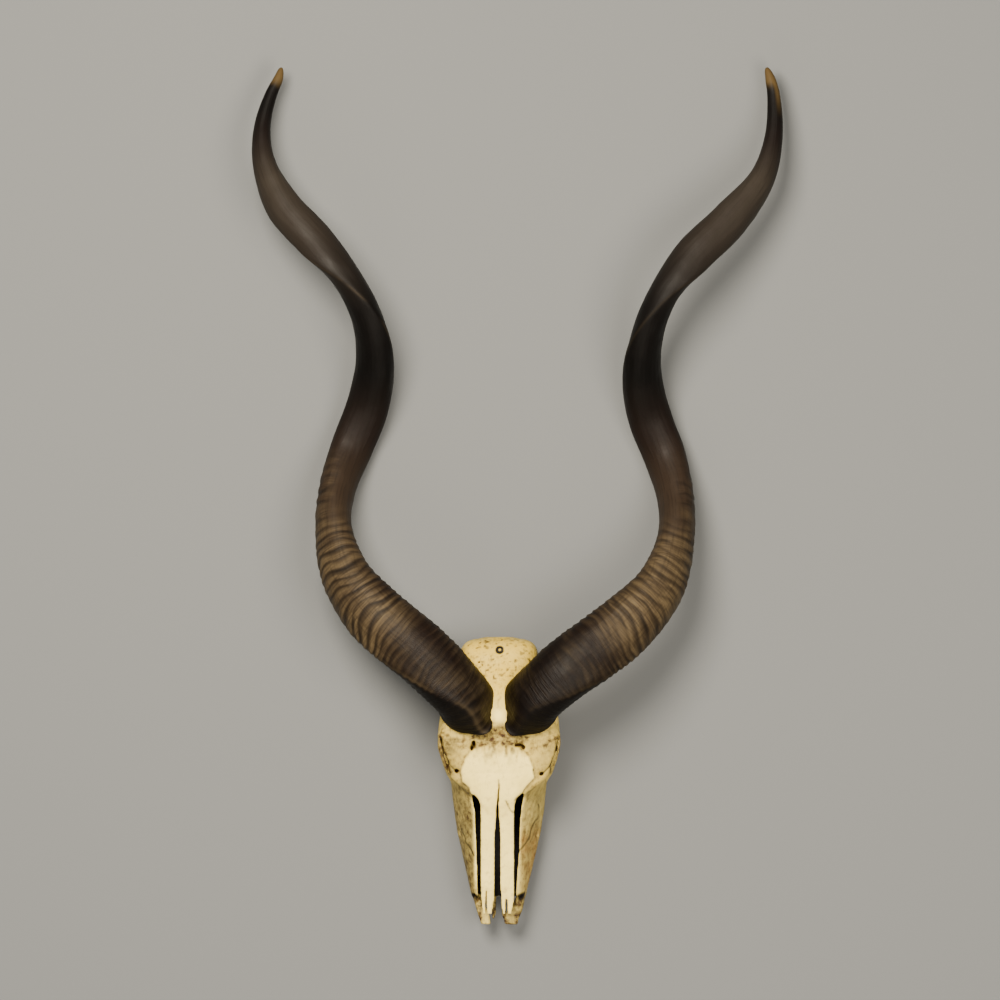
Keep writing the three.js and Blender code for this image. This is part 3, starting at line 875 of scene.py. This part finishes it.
close = np.abs(field) < 3.5
spots = np.stack([axis[index] for axis, index in zip(axes, np.nonzero(close))], 1)
_, spot_y, spot_z = spots.T
off_middle = np.abs(spots[:, 0])
from_above = smooth(60, 80, spot_z)
wobble = wander(spots)
groove = bell(from_lines(spots + wobble, SEAMS), 1.5) * from_above
split = bell(from_lines(spots + wobble, CRACKS), 1.1) * smooth(62, 68, spot_z)
raised = smooth(-1, 1, inside(spots + 0.6 * wobble, PLATE)) * smooth(-140, -118, spot_y) * from_above
band = smooth(-70, -58, spot_y) * (1 - smooth(-40, -30, spot_y)) * from_above * smooth(70, 40, off_middle)
pits = np.maximum(noise(spots, 4.2, 23) - 0.15, 0)
pitted = 2.2 * band + 0.9 * smooth(10, 35, spot_y) * from_above
streaks = np.maximum(noise(lengthwise(spots, 0.22), 2.6, 24) - 0.1, 0) * smooth(-92, -72, spot_y)
streaks *= (1 - smooth(-58, -50, spot_y)) * from_above * smooth(34, 22, off_middle)
dents = 0.42 * noise(spots, 16, 25) + 0.24 * noise(spots, 6.5, 26)
grain = 0.4 * noise(lengthwise(spots, 0.16), 4.5, 27) * smooth(-118, -140, spot_y)
field[close] += groove + 0.5 * split + pits * pitted + 1.4 * streaks + dents + grain - 0.6 * raised
print("points near the surface:", len(spots))

# %% [markdown]
# ### From field to mesh
# Each grid cell that the surface passes through gets one point, at the mean of the places where its
# edges are crossed, and each crossed edge gets one four-sided face between its four cells. This gives
# an even mesh with no seams. A few rounds of smoothing take out the last trace of the grid.

# %% Surface of the field
def surface(values):
    """Points and four-sided faces where values pass through zero, in steps of the grid."""
    cells = np.array(values.shape) - 1
    total = np.zeros((*cells, 3))
    count = np.zeros(cells)
    crossings = []
    for axis in range(3):
        a = np.moveaxis(values, axis, 0)[:-1]
        b = np.moveaxis(values, axis, 0)[1:]
        place = np.argwhere((a < 0) != (b < 0))
        low = a[tuple(place.T)]
        high = b[tuple(place.T)]
        order = [axis] + [other for other in range(3) if other != axis]
        corner = np.empty_like(place)
        corner[:, order] = place
        spot = corner.astype(float)
        spot[:, axis] += low / (low - high)
        inner = np.all((corner[:, order[1:]] > 0) & (corner[:, order[1:]] < cells[order[1:]]), 1)
        corner, spot, inside_first = corner[inner], spot[inner], (low < 0)[inner]
        around = []
        for back in ((1, 1), (0, 1), (0, 0), (1, 0)):
            cell = corner.copy()
            cell[:, order[1]] -= back[0]
            cell[:, order[2]] -= back[1]
            np.add.at(total, tuple(cell.T), spot)
            np.add.at(count, tuple(cell.T), 1)
            around.append(np.ravel_multi_index(tuple(cell.T), cells))
        around = np.stack(around, 1)
        flip = inside_first if axis != 1 else ~inside_first
        around[~flip] = around[~flip][:, ::-1]
        crossings.append(around)
    used = count > 0
    number = np.cumsum(used.ravel()) - 1
    points = total[used] / count[used][:, None]
    return points, number[np.concatenate(crossings)]


def neighbours_mean(points, quads, values):
    """For each point, the mean of values over the points it shares an edge with."""
    start = np.concatenate([quads[:, i] for i in range(4)] + [quads[:, (i + 1) % 4] for i in range(4)])
    stop = np.concatenate([quads[:, (i + 1) % 4] for i in range(4)] + [quads[:, i] for i in range(4)])
    count = np.bincount(start, minlength=len(points))
    total = [np.bincount(start, values[stop, i], len(points)) for i in range(values.shape[1])]
    return np.stack(total, 1) / np.maximum(count, 1)[:, None]


points, quads = surface(field)
points = points * GRID_STEP + np.array(FIELD_LOW)
print("points:", len(points), "faces:", len(quads))

# %% [markdown]
# Cutting can leave loose crumbs of bone in the air. Each point takes the lowest number among its
# neighbours until nothing changes, so every crumb ends up with a number of its own, and only the piece
# with the most points is kept.

# %% Keep the one skull
label = np.arange(len(points))
while True:
    lowest = label[quads].min(1)
    new = label.copy()
    for corner in range(4):
        np.minimum.at(new, quads[:, corner], lowest)
    new = new[new]
    if (new == label).all():
        break
    label = new
keep = label == np.bincount(label).argmax()
number = np.cumsum(keep) - 1
quads = number[quads[keep[quads[:, 0]]]]
points = points[keep]
print("one body of", len(points), "points; left out:", int((~keep).sum()))

# %% [markdown]
# The tones are worked out from place. Painted shade in the creases comes from how sharply the mesh bends.
# Seams, cracks, the jaw's splinters and the ring on the crown are dark, and the deep inside of the nose is
# darkened as painted shade.

# %% Painted crease shade and dark places
points = points + 0.45 * (neighbours_mean(points, quads, points) - points)
normals = point_normals(points, quads)
# Painted shade: the more the mesh bends inwards, the darker the crease.
bend = ((neighbours_mean(points, quads, points) - points) * normals).sum(1)[:, None]
for _ in range(3):
    bend = 0.5 * bend + 0.5 * neighbours_mean(points, quads, bend)
crease_shade = np.clip(bend[:, 0] * 6, 0, 1)

x, y, z = points.T
wide = np.abs(x)
top = smooth(0.15, 0.6, normals[:, 2])
mottle = noise(points, 13, 31) + 0.5 * noise(points, 5, 32)
wobble = wander(points)
seam = bell(from_lines(points + wobble, SEAMS), 1.3) * smooth(60, 80, z)
crack = bell(from_lines(points + wobble, CRACKS), 1.2) * smooth(45, 60, z)
# Painted shade: the deep inside of the nose, seen through the roof openings, is darkened towards black.
from_cavity, from_face = (body(stations)[2](x, y, z) for stations in (NASAL_CAVITY, FACE))
roof_height = np.interp(-y, [100, 124, 156, 200, 250, 281], [107, 106, 97.5, 85.5, 73.5, 66])
hidden = np.where(wide < 24, smooth(0.5, -1.5, z - roof_height), smooth(-1.8, -3.2, from_face))
nose_cavity_shade = smooth(2.6, 0.6, from_cavity) * hidden * smooth(-262, -256, y)
splinter = smooth(-251, -257, y + 3 * mottle) * smooth(-268, -262, y) * smooth(24, 28, wide)
splinter *= smooth(46, 50, z)
from_ring = np.hypot(x - CROWN_RING[0], y - CROWN_RING[1]) - 3.6
ring_mark = 1.2 * bell(from_ring, 1.9) * smooth(80, 90, z) * (0.55 + 0.45 * smooth(-0.6, 0.2, mottle))
marks = (nose_cavity_shade, 0.6 * crack, 0.75 * seam * (0.7 + 0.4 * mottle), 0.75 * splinter, ring_mark)
dark = np.maximum.reduce(marks)
print("darkest share:", round(float((dark > 0.5).mean()), 3))

# %% [markdown]
# The jaws and flanks are tan, the crown is yellow, the right jaw is rusty near its tip, and the forehead
# plate and nose bones are bleached by the sun. The plate's upper edge is frayed by lengthwise noise.

# %% Tan, bleached, yellow and rusty places
JAW_Y = [118, 147, 300]
tan = smooth(-96, -120, y) * smooth(22, 28, wide)
tan += 0.7 * smooth(40, 66, wide) * smooth(-104, -92, y) * (y < -50)
opening = np.where(x < 0, np.interp(-y, JAW_Y, [33, 29, 25]), np.interp(-y, JAW_Y, [33, 29, 24]))
jaw_edge = wide - opening
tan = tan * (0.8 + 0.4 * mottle) * smooth(1, 7, jaw_edge) * np.where(x < 0, 1.5, 0.75)
plate = inside(points + 0.6 * wobble, PLATE)
frayed_y = y + 7 * noise(lengthwise(points, 0.2), 3.4, 38)
bleach = smooth(-2.0, 1.6, plate) * smooth(60, 66, z) * smooth(-60, -76, frayed_y)
between_horns = bell(x + 1, 8) * bell(y + 20, 10)
bleach = (bleach + between_horns) * top
yellow = np.maximum(smooth(-12, 12, y + 5 * mottle), 0.45 * smooth(-140, -110, y))
yellow *= smooth(-0.1, 0.6, normals[:, 2])
rust = smooth(28, 34, x) * smooth(-150, -190, y) * smooth(-262, -240, y) * (0.5 + 0.3 * mottle)
print("bleached share:", round(float((bleach > 0.5).mean()), 3))

# %% [markdown]
# The nose of this skull leans a little to the left, so the front of the mesh is shifted once those tones
# are known. Dirt and painted shade come last, as a sum of marks. Dirt gathers at the feet of the horns, on
# the back edge, in fine lines on the forehead and along the jaws. Painted shade lies above the sockets, the
# horns' shadow is painted between their feet, a shadow is painted along the jaws, and the broken tip is
# darker.

# %% Lean, dirt and painted shade
points[:, 0] -= 2 * smooth(-95, -140, y) * smooth(35, 60, z)
fleck = smooth(0.05, 0.5, noise(points, 6, 33) + 0.5 * noise(points, 2.8, 35))
fine_line = smooth(0.1, 0.5, noise(lengthwise(points, 0.2), 3.2, 34))
jaw_fleck = smooth(0.35, 0.7, noise(lengthwise(points, 0.35), 3.4, 37))
pin_hole = smooth(0.38, 0.6, noise(points, 3.6, 36))
# The broken tip is darker, except on the ends of the lips, which lighten less on the right.
lighter_lip_ends = smooth(-266, -276, y) * smooth(22.5, 19, wide) * smooth(9, 12, wide)
lip_darkening = 1.1 - np.where(x > 0, 0.38, 0.95) * lighter_lip_ends + 0.2 * mottle
jaw_shadow = np.where(x < 0, 0.34 + 0.16 * smooth(-185, -225, y), 0.1) * smooth(1, 7, jaw_edge)
DIRT_AND_SHADE_MARKS = {
    # Painted shade: the dark socket beyond the rim above each eye.
    "painted shade above sockets": 1.3 * bell(from_lines(points + wobble, SOCKET_LINES), 3.4) * smooth(60, 80, z),
    "horn feet": 0.75 * smooth(-72, -54, y) * smooth(-30, -40, y) * (0.35 + 0.65 * fleck) * top,
    # Partly dirt, and partly the horns' shadow painted on the bone between their feet.
    "dirt and shade between feet": 0.75 * smooth(-62, -46, y) * smooth(-24, -34, y) * smooth(40, 22, wide) * top,
    "back edge": 0.6 * (smooth(72, 80, y) + smooth(42, 50, wide) * (y > 30)) * (0.5 + 0.5 * fleck),
    "forehead lines": 0.8 * fine_line * smooth(-90, -58, y) * (y < -40) * smooth(34, 26, wide),
    "flanks": 0.22 * smooth(-112, -96, y) * smooth(-40, -52, y) * smooth(-0.5, -4, plate) * smooth(78, 90, z),
    "plate edge": 0.55 * bell(plate + 1.6, 1.5) * smooth(-135, -125, y) * smooth(70, 80, z),
    "crown pin holes": 0.85 * pin_hole * smooth(14, 30, y) * smooth(80, 90, z),
    "jaw flecks": 0.5 * jaw_fleck * smooth(-112, -124, y) * smooth(2, 6, jaw_edge),
    "jaw shadow": jaw_shadow * smooth(-120, -160, y) * smooth(-262, -250, y),
    "nose forks": 0.5 * smooth(-240, -262, y) * (wide < 23.5) * smooth(60, 66, z) * smooth(0.1, 0.5, mottle),
    "broken tip": lip_darkening * smooth(-252, -262, y) * smooth(62, 56, z),
}
dirt_and_shade = sum(DIRT_AND_SHADE_MARKS.values())
for mark, amount in DIRT_AND_SHADE_MARKS.items():
    print(mark, "on", round(100 * float((amount > 0.2).mean()), 1), "% of the points")

# %% [markdown]
# All those numbers go onto the mesh as three layers.

# %% Make the skull
layers = {"tone": (dark, tan, bleach), "stain_and_crease_shade": (crease_shade, yellow, rust), "dirt_and_shade": (dirt_and_shade,)}
skull = make_piece("skull_bone", points, quads.tolist(), layers)

# %% [markdown]
# ## Cheek teeth
# A kudu grinds leaves between tall teeth whose worn faces show crescents of enamel round darker dentine.
# Each tooth here is a crown, squarish in outline, and the molars have a waist between two lobes. Its box
# is the box of its solid. Rings of points go down the crown and then inwards over the worn face, which
# rises in a crescent.

# %% Teeth
TOOTH_SIDES, TOOTH_RINGS = 48, 9
TEETH = [f"{kind}_{place}" for kind in ("premolar", "molar") for place in (1, 2, 3)]
WORN_EDGE = 0.93
WORN_INSETS = (0.86, 0.74, 0.62, 0.5, 0.36, 0.22, 0.1)


def crown(name):
    """One tooth inside the box of its solid."""
    low, high = (np.array(corner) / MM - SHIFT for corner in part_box(name))
    centre, half = (low + high) / 2, (high - low) / 2
    turn = np.linspace(0, 2 * np.pi, TOOTH_SIDES, endpoint=False)
    across, along = np.cos(turn), np.sin(turn)
    reach = (np.abs(across) ** 3 + np.abs(along) ** 3) ** (-1 / 3)
    waist = 1 - 0.16 * np.exp(-((along * reach * 2.4) ** 2) * 6) * name.startswith("molar")
    outline = np.stack([across * reach * waist, along * reach], 1)
    outline /= np.abs(outline).max(0)
    rows, tone = [], []
    for height in 1 - np.arange(TOOTH_RINGS) / (TOOTH_RINGS - 1):
        size = 0.9 + 0.1 * math.sin(math.pi * min(1, 0.25 + 0.6 * (1 - height)))
        z = low[2] + (high[2] - low[2]) * height
        rows.append(np.c_[centre[:2] + outline * half[:2] * size, np.full(TOOTH_SIDES, z)])
        tone.append(np.full(TOOTH_SIDES, 0.5 * height))
    for inset in (WORN_EDGE, *WORN_INSETS):
        flat = outline * inset
        crescent = bell(np.hypot(flat[:, 0], 0.8 * flat[:, 1]) - 0.45, 0.13)
        rise = (1.05 + 1.3 * crescent) * (inset < WORN_EDGE)
        rows.append(np.c_[centre[:2] + flat * half[:2], low[2] + rise])
        tone.append(0.15 + 0.8 * crescent)
    faces = tube_faces(len(rows), TOOTH_SIDES, BACKWARD_FROM_FIRST)
    return make_piece(name + "_crown", np.concatenate(rows), faces, {"tone": (np.concatenate(tone),)})


crowns = {f"{tooth}_{side}": crown(f"{tooth}_{side}") for side in ("left", "right") for tooth in TEETH}
print("teeth:", len(crowns))

# %% [markdown]
# ## Materials
# Every finish here is the animal's own: bone, keratin and enamel. Their colours are given as they look
# on a screen, and one function turns them into the linear values that Blender reckons with. One function
# adds any node. A finish is a ground colour with coats over it, and how much of a coat shows is the
# product of some ranges, each of them a pattern or a layer of the mesh spread out between two values.

# %% Colours and nodes
MIX_A, MIX_B, MIX_COLOUR = 6, 7, 2


def colour(code):
    """A linear colour from an sRGB hex code."""
    parts = [int(code[i : i + 2], 16) / 255 for i in (1, 3, 5)]
    return [p / 12.92 if p <= 0.04045 else ((p + 0.055) / 1.055) ** 2.4 for p in parts] + [1]


def add_node(tree, kind, inputs=None, **settings):
    """Adds a node and gives its outputs. An input takes a socket or a value. Settings are its own."""
    made = tree.nodes.new("ShaderNode" + kind)
    for name, value in settings.items():
        setattr(made, name, value)
    for place, value in (inputs or {}).items():
        if isinstance(value, bpy.types.NodeSocket):
            tree.links.new(value, made.inputs[place])
        else:
            made.inputs[place].default_value = value
    return made.outputs


def new_material(name, layer_names=()):
    """A material with an empty tree, and the three numbers of each of the mesh's layers as sockets."""
    made = bpy.data.materials.new(name)
    made.use_nodes = True
    made.node_tree.nodes.clear()
    tree, numbers = made.node_tree, []
    for layer_name in layer_names:
        layer = add_node(tree, "Attribute", attribute_name=layer_name)[0]
        numbers.append(add_node(tree, "SeparateColor", {0: layer}))
    return made, tree, *numbers


def lay_coats(tree, ground, coats):
    """Coats of colour over a ground. A coat is its code and its ranges."""
    for code, *ranges in coats:
        amount = None
        for given in ranges:
            source, low, high, least, most = (*given, 0.0, 1.0)[:5]
            share = add_node(tree, "MapRange", {0: source, 1: low, 2: high, 3: least, 4: most})[0]
            factors = {0: amount, 1: share}
            amount = add_node(tree, "Math", factors, operation="MULTIPLY")[0] if amount else share
        mixed = {0: amount, MIX_A: ground, MIX_B: colour(code)}
        ground = add_node(tree, "Mix", mixed, data_type="RGBA")[MIX_COLOUR]
    return ground


def close_material(tree, inputs):
    """The surface shader with its inputs, joined to the output."""
    add_node(tree, "OutputMaterial", {"Surface": add_node(tree, "BsdfPrincipled", inputs)[0]})
    print("nodes:", len(tree.nodes))


print("white is", colour("#FFFFFF"))

# %% [markdown]
# ### Weathered bone
# Bone is mineral and collagen. Fresh it is greasy and yellow, and years of sun bleach it, open fine
# cracks along its grain and let dirt into every pore. It scatters light like chalk, so it is rough, and
# only rubbed places have a dull shine. Its pores are under a tenth of a millimetre, which is too fine to
# show here, so they are drawn as grit of half a millimetre to two millimetres.

# %% Bone patterns
bone, tree, tone, stain_and_crease_shade, dirt_and_shade_parts = new_material("weathered bone", ("tone", "stain_and_crease_shade", "dirt_and_shade"))
place = add_node(tree, "TexCoord")["Object"]
long_place = add_node(tree, "Mapping", {"Vector": place, "Scale": (1, 0.12, 1)})[0]
BONE_PATTERNS = {
    # name: where, size in metres, detail, roughness, distortion
    "patches": (place, 0.028, 4, 0.6, 0),
    "mottles": (place, 0.007, 5, 0.65, 0),
    "grit": (place, 0.0016, 3, 0.7, 0),
    "fibres": (long_place, 0.0022, 5, 0.6, 0.6),
}
pattern = {}
for name, (where, size, detail, rough, twist) in BONE_PATTERNS.items():
    settings = {"Vector": where, "Scale": 1 / size, "Detail": detail, "Roughness": rough, "Distortion": twist}
    pattern[name] = add_node(tree, "TexNoise", settings)[0]
print("patterns:", list(pattern))

# %% [markdown]
# The coats go on in the order in which they came to the bone: old fat, tan and rust, then the sun, and
# dirt over everything, followed by painted shade in creases, above the sockets and deep in the nose. The
# bumps are well under a millimetre high.

# %% Bone material
patches, mottles, grit, fibres = pattern.values()
sheltered = (tone[2], 0, 1, 1.0, 0.3)
BONE_COATS = [
    ("#CAAA3E", (stain_and_crease_shade[1], 0, 1), (patches, 0.3, 0.65, 0.55, 1.0)),  # old fat on the crown
    ("#605530", (tone[1], 0, 1), (mottles, 0.3, 0.7, 0.5, 1.0)),  # tan jaws
    ("#8A5A1E", (stain_and_crease_shade[2], 0, 1), (patches, 0.35, 0.65, 0.4, 0.95)),  # rust on the right jaw
    ("#FFE684", (tone[2], 0, 1), (patches, 0.3, 0.65, 0.6, 1.0)),  # bleached plate and nose
    ("#D8BC70", (tone[2], 0, 1), (mottles, 0.48, 0.72, 0.0, 0.45)),  # and its mottling
    ("#5A3D18", sheltered, (mottles, 0.54, 0.76, 0.0, 0.6)),  # brown spots out of the sun
    ("#432A10", sheltered, (fibres, 0.56, 0.72, 0.0, 0.5)),  # dirt in the grain
    ("#33200E", (dirt_and_shade_parts[0], 0, 1), (mottles, 0.35, 0.6, 0.35, 1.0)),  # dirt marks and painted shade
    ("#472C10", (stain_and_crease_shade[0], 0, 1, 0.0, 0.95)),  # painted shade in creases
    ("#070301", (tone[0], 0.12, 0.75)),  # holes, seams, cracks and splinters, and painted shade deep in the nose
]
bumps = None
for height, strength, distance in ((mottles, 0.5, 0.0007), (fibres, 0.5, 0.0004), (grit, 0.35, 0.0002)):
    settings = {"Height": height, "Strength": strength, "Distance": distance}
    bumps = add_node(tree, "Bump", settings | ({"Normal": bumps} if bumps else {}))[0]
rubbed = add_node(tree, "MapRange", {0: mottles, 1: 0.3, 2: 0.7, 3: 0.5, 4: 0.72})[0]
surface_colour = lay_coats(tree, colour("#CDB664"), BONE_COATS)
finish = {"Base Color": surface_colour, "Roughness": rubbed, "Normal": bumps}
close_material(tree, finish | {"IOR": 1.5, "Specular IOR Level": 0.16})

# %% [markdown]
# ### Horn keratin
# Horn is keratin, the stuff of hooves and nails, laid down in long fibres. It is nearly black here. Wear
# has rubbed the crests of the ridges to tan, the smooth upper part has a satin shine with fine lines
# along it, and the tips are polished down to ochre. The ground colour is a ramp along the horn's length.

# %% Keratin patterns
keratin, tree, tone, wear, shade = new_material("dark horn keratin", ("tone", "wear", "shade"))
place = add_node(tree, "TexCoord")["Object"]
run = add_node(tree, "Attribute", attribute_name="run")["Vector"]
ring_place = add_node(tree, "Mapping", {"Vector": run, "Scale": (15, 0.08, 0.08)})[0]
KERATIN_PATTERNS = {
    # name: where, size (metres in space, or shares of the run), detail, roughness, distortion
    "blotches": (place, 0.03, 4, 0.6, 0),
    "specks": (place, 0.003, 4, 0.65, 0),
    "threads": (run, 1.0, 5, 0.65, 0),
    "rings": (ring_place, 1.0, 4, 0.6, 0.3),
}
pattern = {}
for name, (where, size, detail, rough, twist) in KERATIN_PATTERNS.items():
    settings = {"Vector": where, "Scale": 1 / size, "Detail": detail, "Roughness": rough, "Distortion": twist}
    pattern[name] = add_node(tree, "TexNoise", settings)[0]
ALONG_HORN = [
    (0.0, "#0A0502"), (0.08, "#100804"), (0.2, "#1A110A"), (0.3, "#281F16"), (0.38, "#261D15"),
    (0.46, "#140D09"), (0.55, "#020100"), (0.64, "#050302"), (0.75, "#211C17"), (0.84, "#29241E"),
    (0.9, "#120C09"), (0.94, "#050302"),
]
along = add_node(tree, "ValToRGB", {0: tone[1]})[0]
ramp = along.node.color_ramp
while len(ramp.elements) < len(ALONG_HORN):
    ramp.elements.new(0.5)
for element, (share, code) in zip(ramp.elements, ALONG_HORN):
    element.position = share
    element.color = colour(code)
print("patterns:", list(pattern), "stops:", len(ramp.elements))

# %% [markdown]
# Most coats keep to the ridges. The rubbed crests get the tan, the other crests are a little lighter, partly
# as painted highlight, and the grooves and fine rings stay nearly black, partly as painted shade. The bumps
# add what the mesh is too coarse for: rings, threads and specks.

# %% Keratin material
blotches, specks, threads, rings = pattern.values()
crest, ridged = tone[0], wear[2]
high_crest = add_node(tree, "MapRange", {0: crest, 1: 0.2, 2: 0.9, 3: 0.25, 4: 1.0})[0]
ring_share = add_node(tree, "MapRange", {0: rings, 1: 0.36, 2: 0.64, 3: 0.55, 4: 1.0})[0]
rubbed_crest, ridge_height, ring_height = (
    add_node(tree, "Math", {0: first, 1: second}, operation="MULTIPLY")[0]
    for first, second in ((high_crest, ring_share), (crest, ridged), (rings, ridged))
)
KERATIN_COATS = [
    ("#66573D", (wear[0], 0, 1), (rubbed_crest, 0.32, 0.95, 0.24, 1.0)),  # crests rubbed to tan
    ("#2A1F15", (ridged, 0, 1), (crest, 0.6, 0.95, 0.0, 0.6)),  # the other crests, lighter partly as painted highlight
    ("#060302", (ridged, 0, 1), (crest, 0.42, 0.05, 0.0, 0.85)),  # grooves: dark keratin, and painted shade
    ("#060302", (ridged, 0, 1), (rings, 0.44, 0.34, 0.0, 0.35)),  # fine rings: dark keratin, and painted shade
    ("#080503", (threads, 0.5, 0.3, 0.0, 0.4)),  # fibres along the horn
    ("#4E422E", (tone[2], 0, 1, 0.0, 0.32)),  # painted highlight along the keel
    ("#030201", (shade[0], 0, 1, 0.0, 0.8)),  # painted shade in the hollow below the keel
    ("#050201", (shade[1], 0, 1)),  # painted shade at the base
    ("#48391F", (wear[1], 0, 1)),  # polished tips
]
BUMPS = [
    # height, strength, distance in metres
    (ridge_height, 0.7, 0.002),
    (ring_height, 0.8, 0.0012),
    (threads, 0.5, 0.0005),
    (specks, 0.4, 0.0004),
]
bumps = None
for height, strength, distance in BUMPS:
    settings = {"Height": height, "Strength": strength, "Distance": distance}
    bumps = add_node(tree, "Bump", settings | ({"Normal": bumps} if bumps else {}))[0]
satin = add_node(tree, "MapRange", {0: blotches, 1: 0.3, 2: 0.7, 3: 0.46, 4: 0.62})[0]
surface_colour = lay_coats(tree, along, KERATIN_COATS)
finish = {"Base Color": surface_colour, "Roughness": satin, "Normal": bumps}
close_material(tree, finish | {"IOR": 1.54, "Specular IOR Level": 0.1})

# %% [markdown]
# ### Tooth enamel
# Enamel is glassy and hard, so it keeps a half gloss when the bone round it has gone chalky. Brown tartar
# stays in the folds and on the dentine inside the crescents.

# %% Enamel material
enamel, tree, tone = new_material("stained tooth enamel", ("tone",))
place = add_node(tree, "TexCoord")["Object"]
TARTAR_SIZE = 0.004
settings = {"Vector": place, "Scale": 1 / TARTAR_SIZE, "Detail": 4, "Roughness": 0.6}
clouds = add_node(tree, "TexNoise", settings)[0]
ENAMEL_COATS = [("#8A6534", (clouds, 0.42, 0.66, 0.0, 0.85)), ("#3A2614", (tone[0], 0.3, 0.9))]
surface_colour = lay_coats(tree, colour("#CDBC8E"), ENAMEL_COATS)
chips = add_node(tree, "Bump", {"Height": clouds, "Strength": 0.3, "Distance": 0.0003})[0]
gloss = add_node(tree, "MapRange", {0: clouds, 1: 0.3, 2: 0.7, 3: 0.25, 4: 0.42})[0]
close_material(tree, {"Base Color": surface_colour, "Roughness": gloss, "Normal": chips, "IOR": 1.62})

# %% [markdown]
# ## Finishes and bodies
# Every piece gets its finish and rides the one body of the frame, and the solid it stands for is hidden.

# %% Finishes, bodies and hidden solids
pieces = [(skull, bone, "skull", "bone"), (horn_left, keratin, "horn_left", "horn")]
pieces.append((horn_right, keratin, "horn_right", "horn"))
pieces += [(piece, enamel, name, "tooth") for name, piece in crowns.items()]
for piece, finish, solid, slot in pieces:
    piece.data.materials.append(finish)
    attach(piece, "root")
    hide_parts(solid)
print("pieces:", len(pieces))

# %% [markdown]
# ## Floor and light
# The floor is plain matt grey and stands in for whatever the skull lies on. It is so wide that its edge
# never shows. It lies half a millimetre low, so that nothing flickers where the teeth touch it.

# %% Floor
FLOOR_SIZE, FLOOR_DROP = 40, 0.0005
floor_mesh = bpy.data.meshes.new("floor")
edge = FLOOR_SIZE / 2
corners = [(-edge, -edge, 0), (edge, -edge, 0), (edge, edge, 0), (-edge, edge, 0)]
floor_mesh.from_pydata(corners, [], [(0, 1, 2, 3)])
floor = bpy.data.objects.new("floor", floor_mesh)
floor.location.z = -FLOOR_DROP
bpy.context.scene.collection.objects.link(floor)
paper, tree = new_material("pale matt paper")
close_material(tree, {"Base Color": colour("#666868"), "Roughness": 0.9})
floor.data.materials.append(paper)
floor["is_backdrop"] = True
print("floor:", FLOOR_SIZE, "m")

# %% [markdown]
# The main light is a large soft disk above the horn tips and to the left. A weaker one on the right opens
# the shadows, and a faint one from beyond the nose lights the jaws' broken tips. The sky does the rest.

# %% Lights
LIGHTS = [
    # name, place in metres, width in metres, watts
    ("key", (-0.8, 1.1, 3.2), 1.5, 312),
    ("fill", (1.2, -0.5, 3.1), 1.8, 119),
    ("low", (-0.4, -2.2, 2.0), 1.6, 22),
]
WARM_WHITE, SKY_COLOUR, SKY_STRENGTH = "#FFF4E2", "#EEF0F2", 0.33
for name, spot, size, power in LIGHTS:
    lamp = bpy.data.lights.new(name, "AREA")
    lamp.shape = "DISK"
    lamp.size = size
    lamp.energy = power
    lamp.color = colour(WARM_WHITE)[:3]
    light = bpy.data.objects.new(name, lamp)
    light.location = spot
    light.rotation_euler = (Vector((0, 0, 0)) - Vector(spot)).to_track_quat("-Z", "Y").to_euler()
    bpy.context.scene.collection.objects.link(light)
sky = bpy.data.worlds.new("soft sky")
sky.use_nodes = True
background = sky.node_tree.nodes["Background"]
background.inputs["Color"].default_value = colour(SKY_COLOUR)
background.inputs["Strength"].default_value = SKY_STRENGTH
bpy.context.scene.world = sky
print("lights:", len(LIGHTS))

# %% [markdown]
# ## Sizes
# The box of the solids and the box of the dressed part are written down side by side. The second has to
# lie inside the first.

# %% Sizes
scene_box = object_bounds()
for low_or_high, a, b in zip(("low ", "high"), cad_box, scene_box):
    print(low_or_high, [round(v, 4) for v in a], [round(v, 4) for v in b])
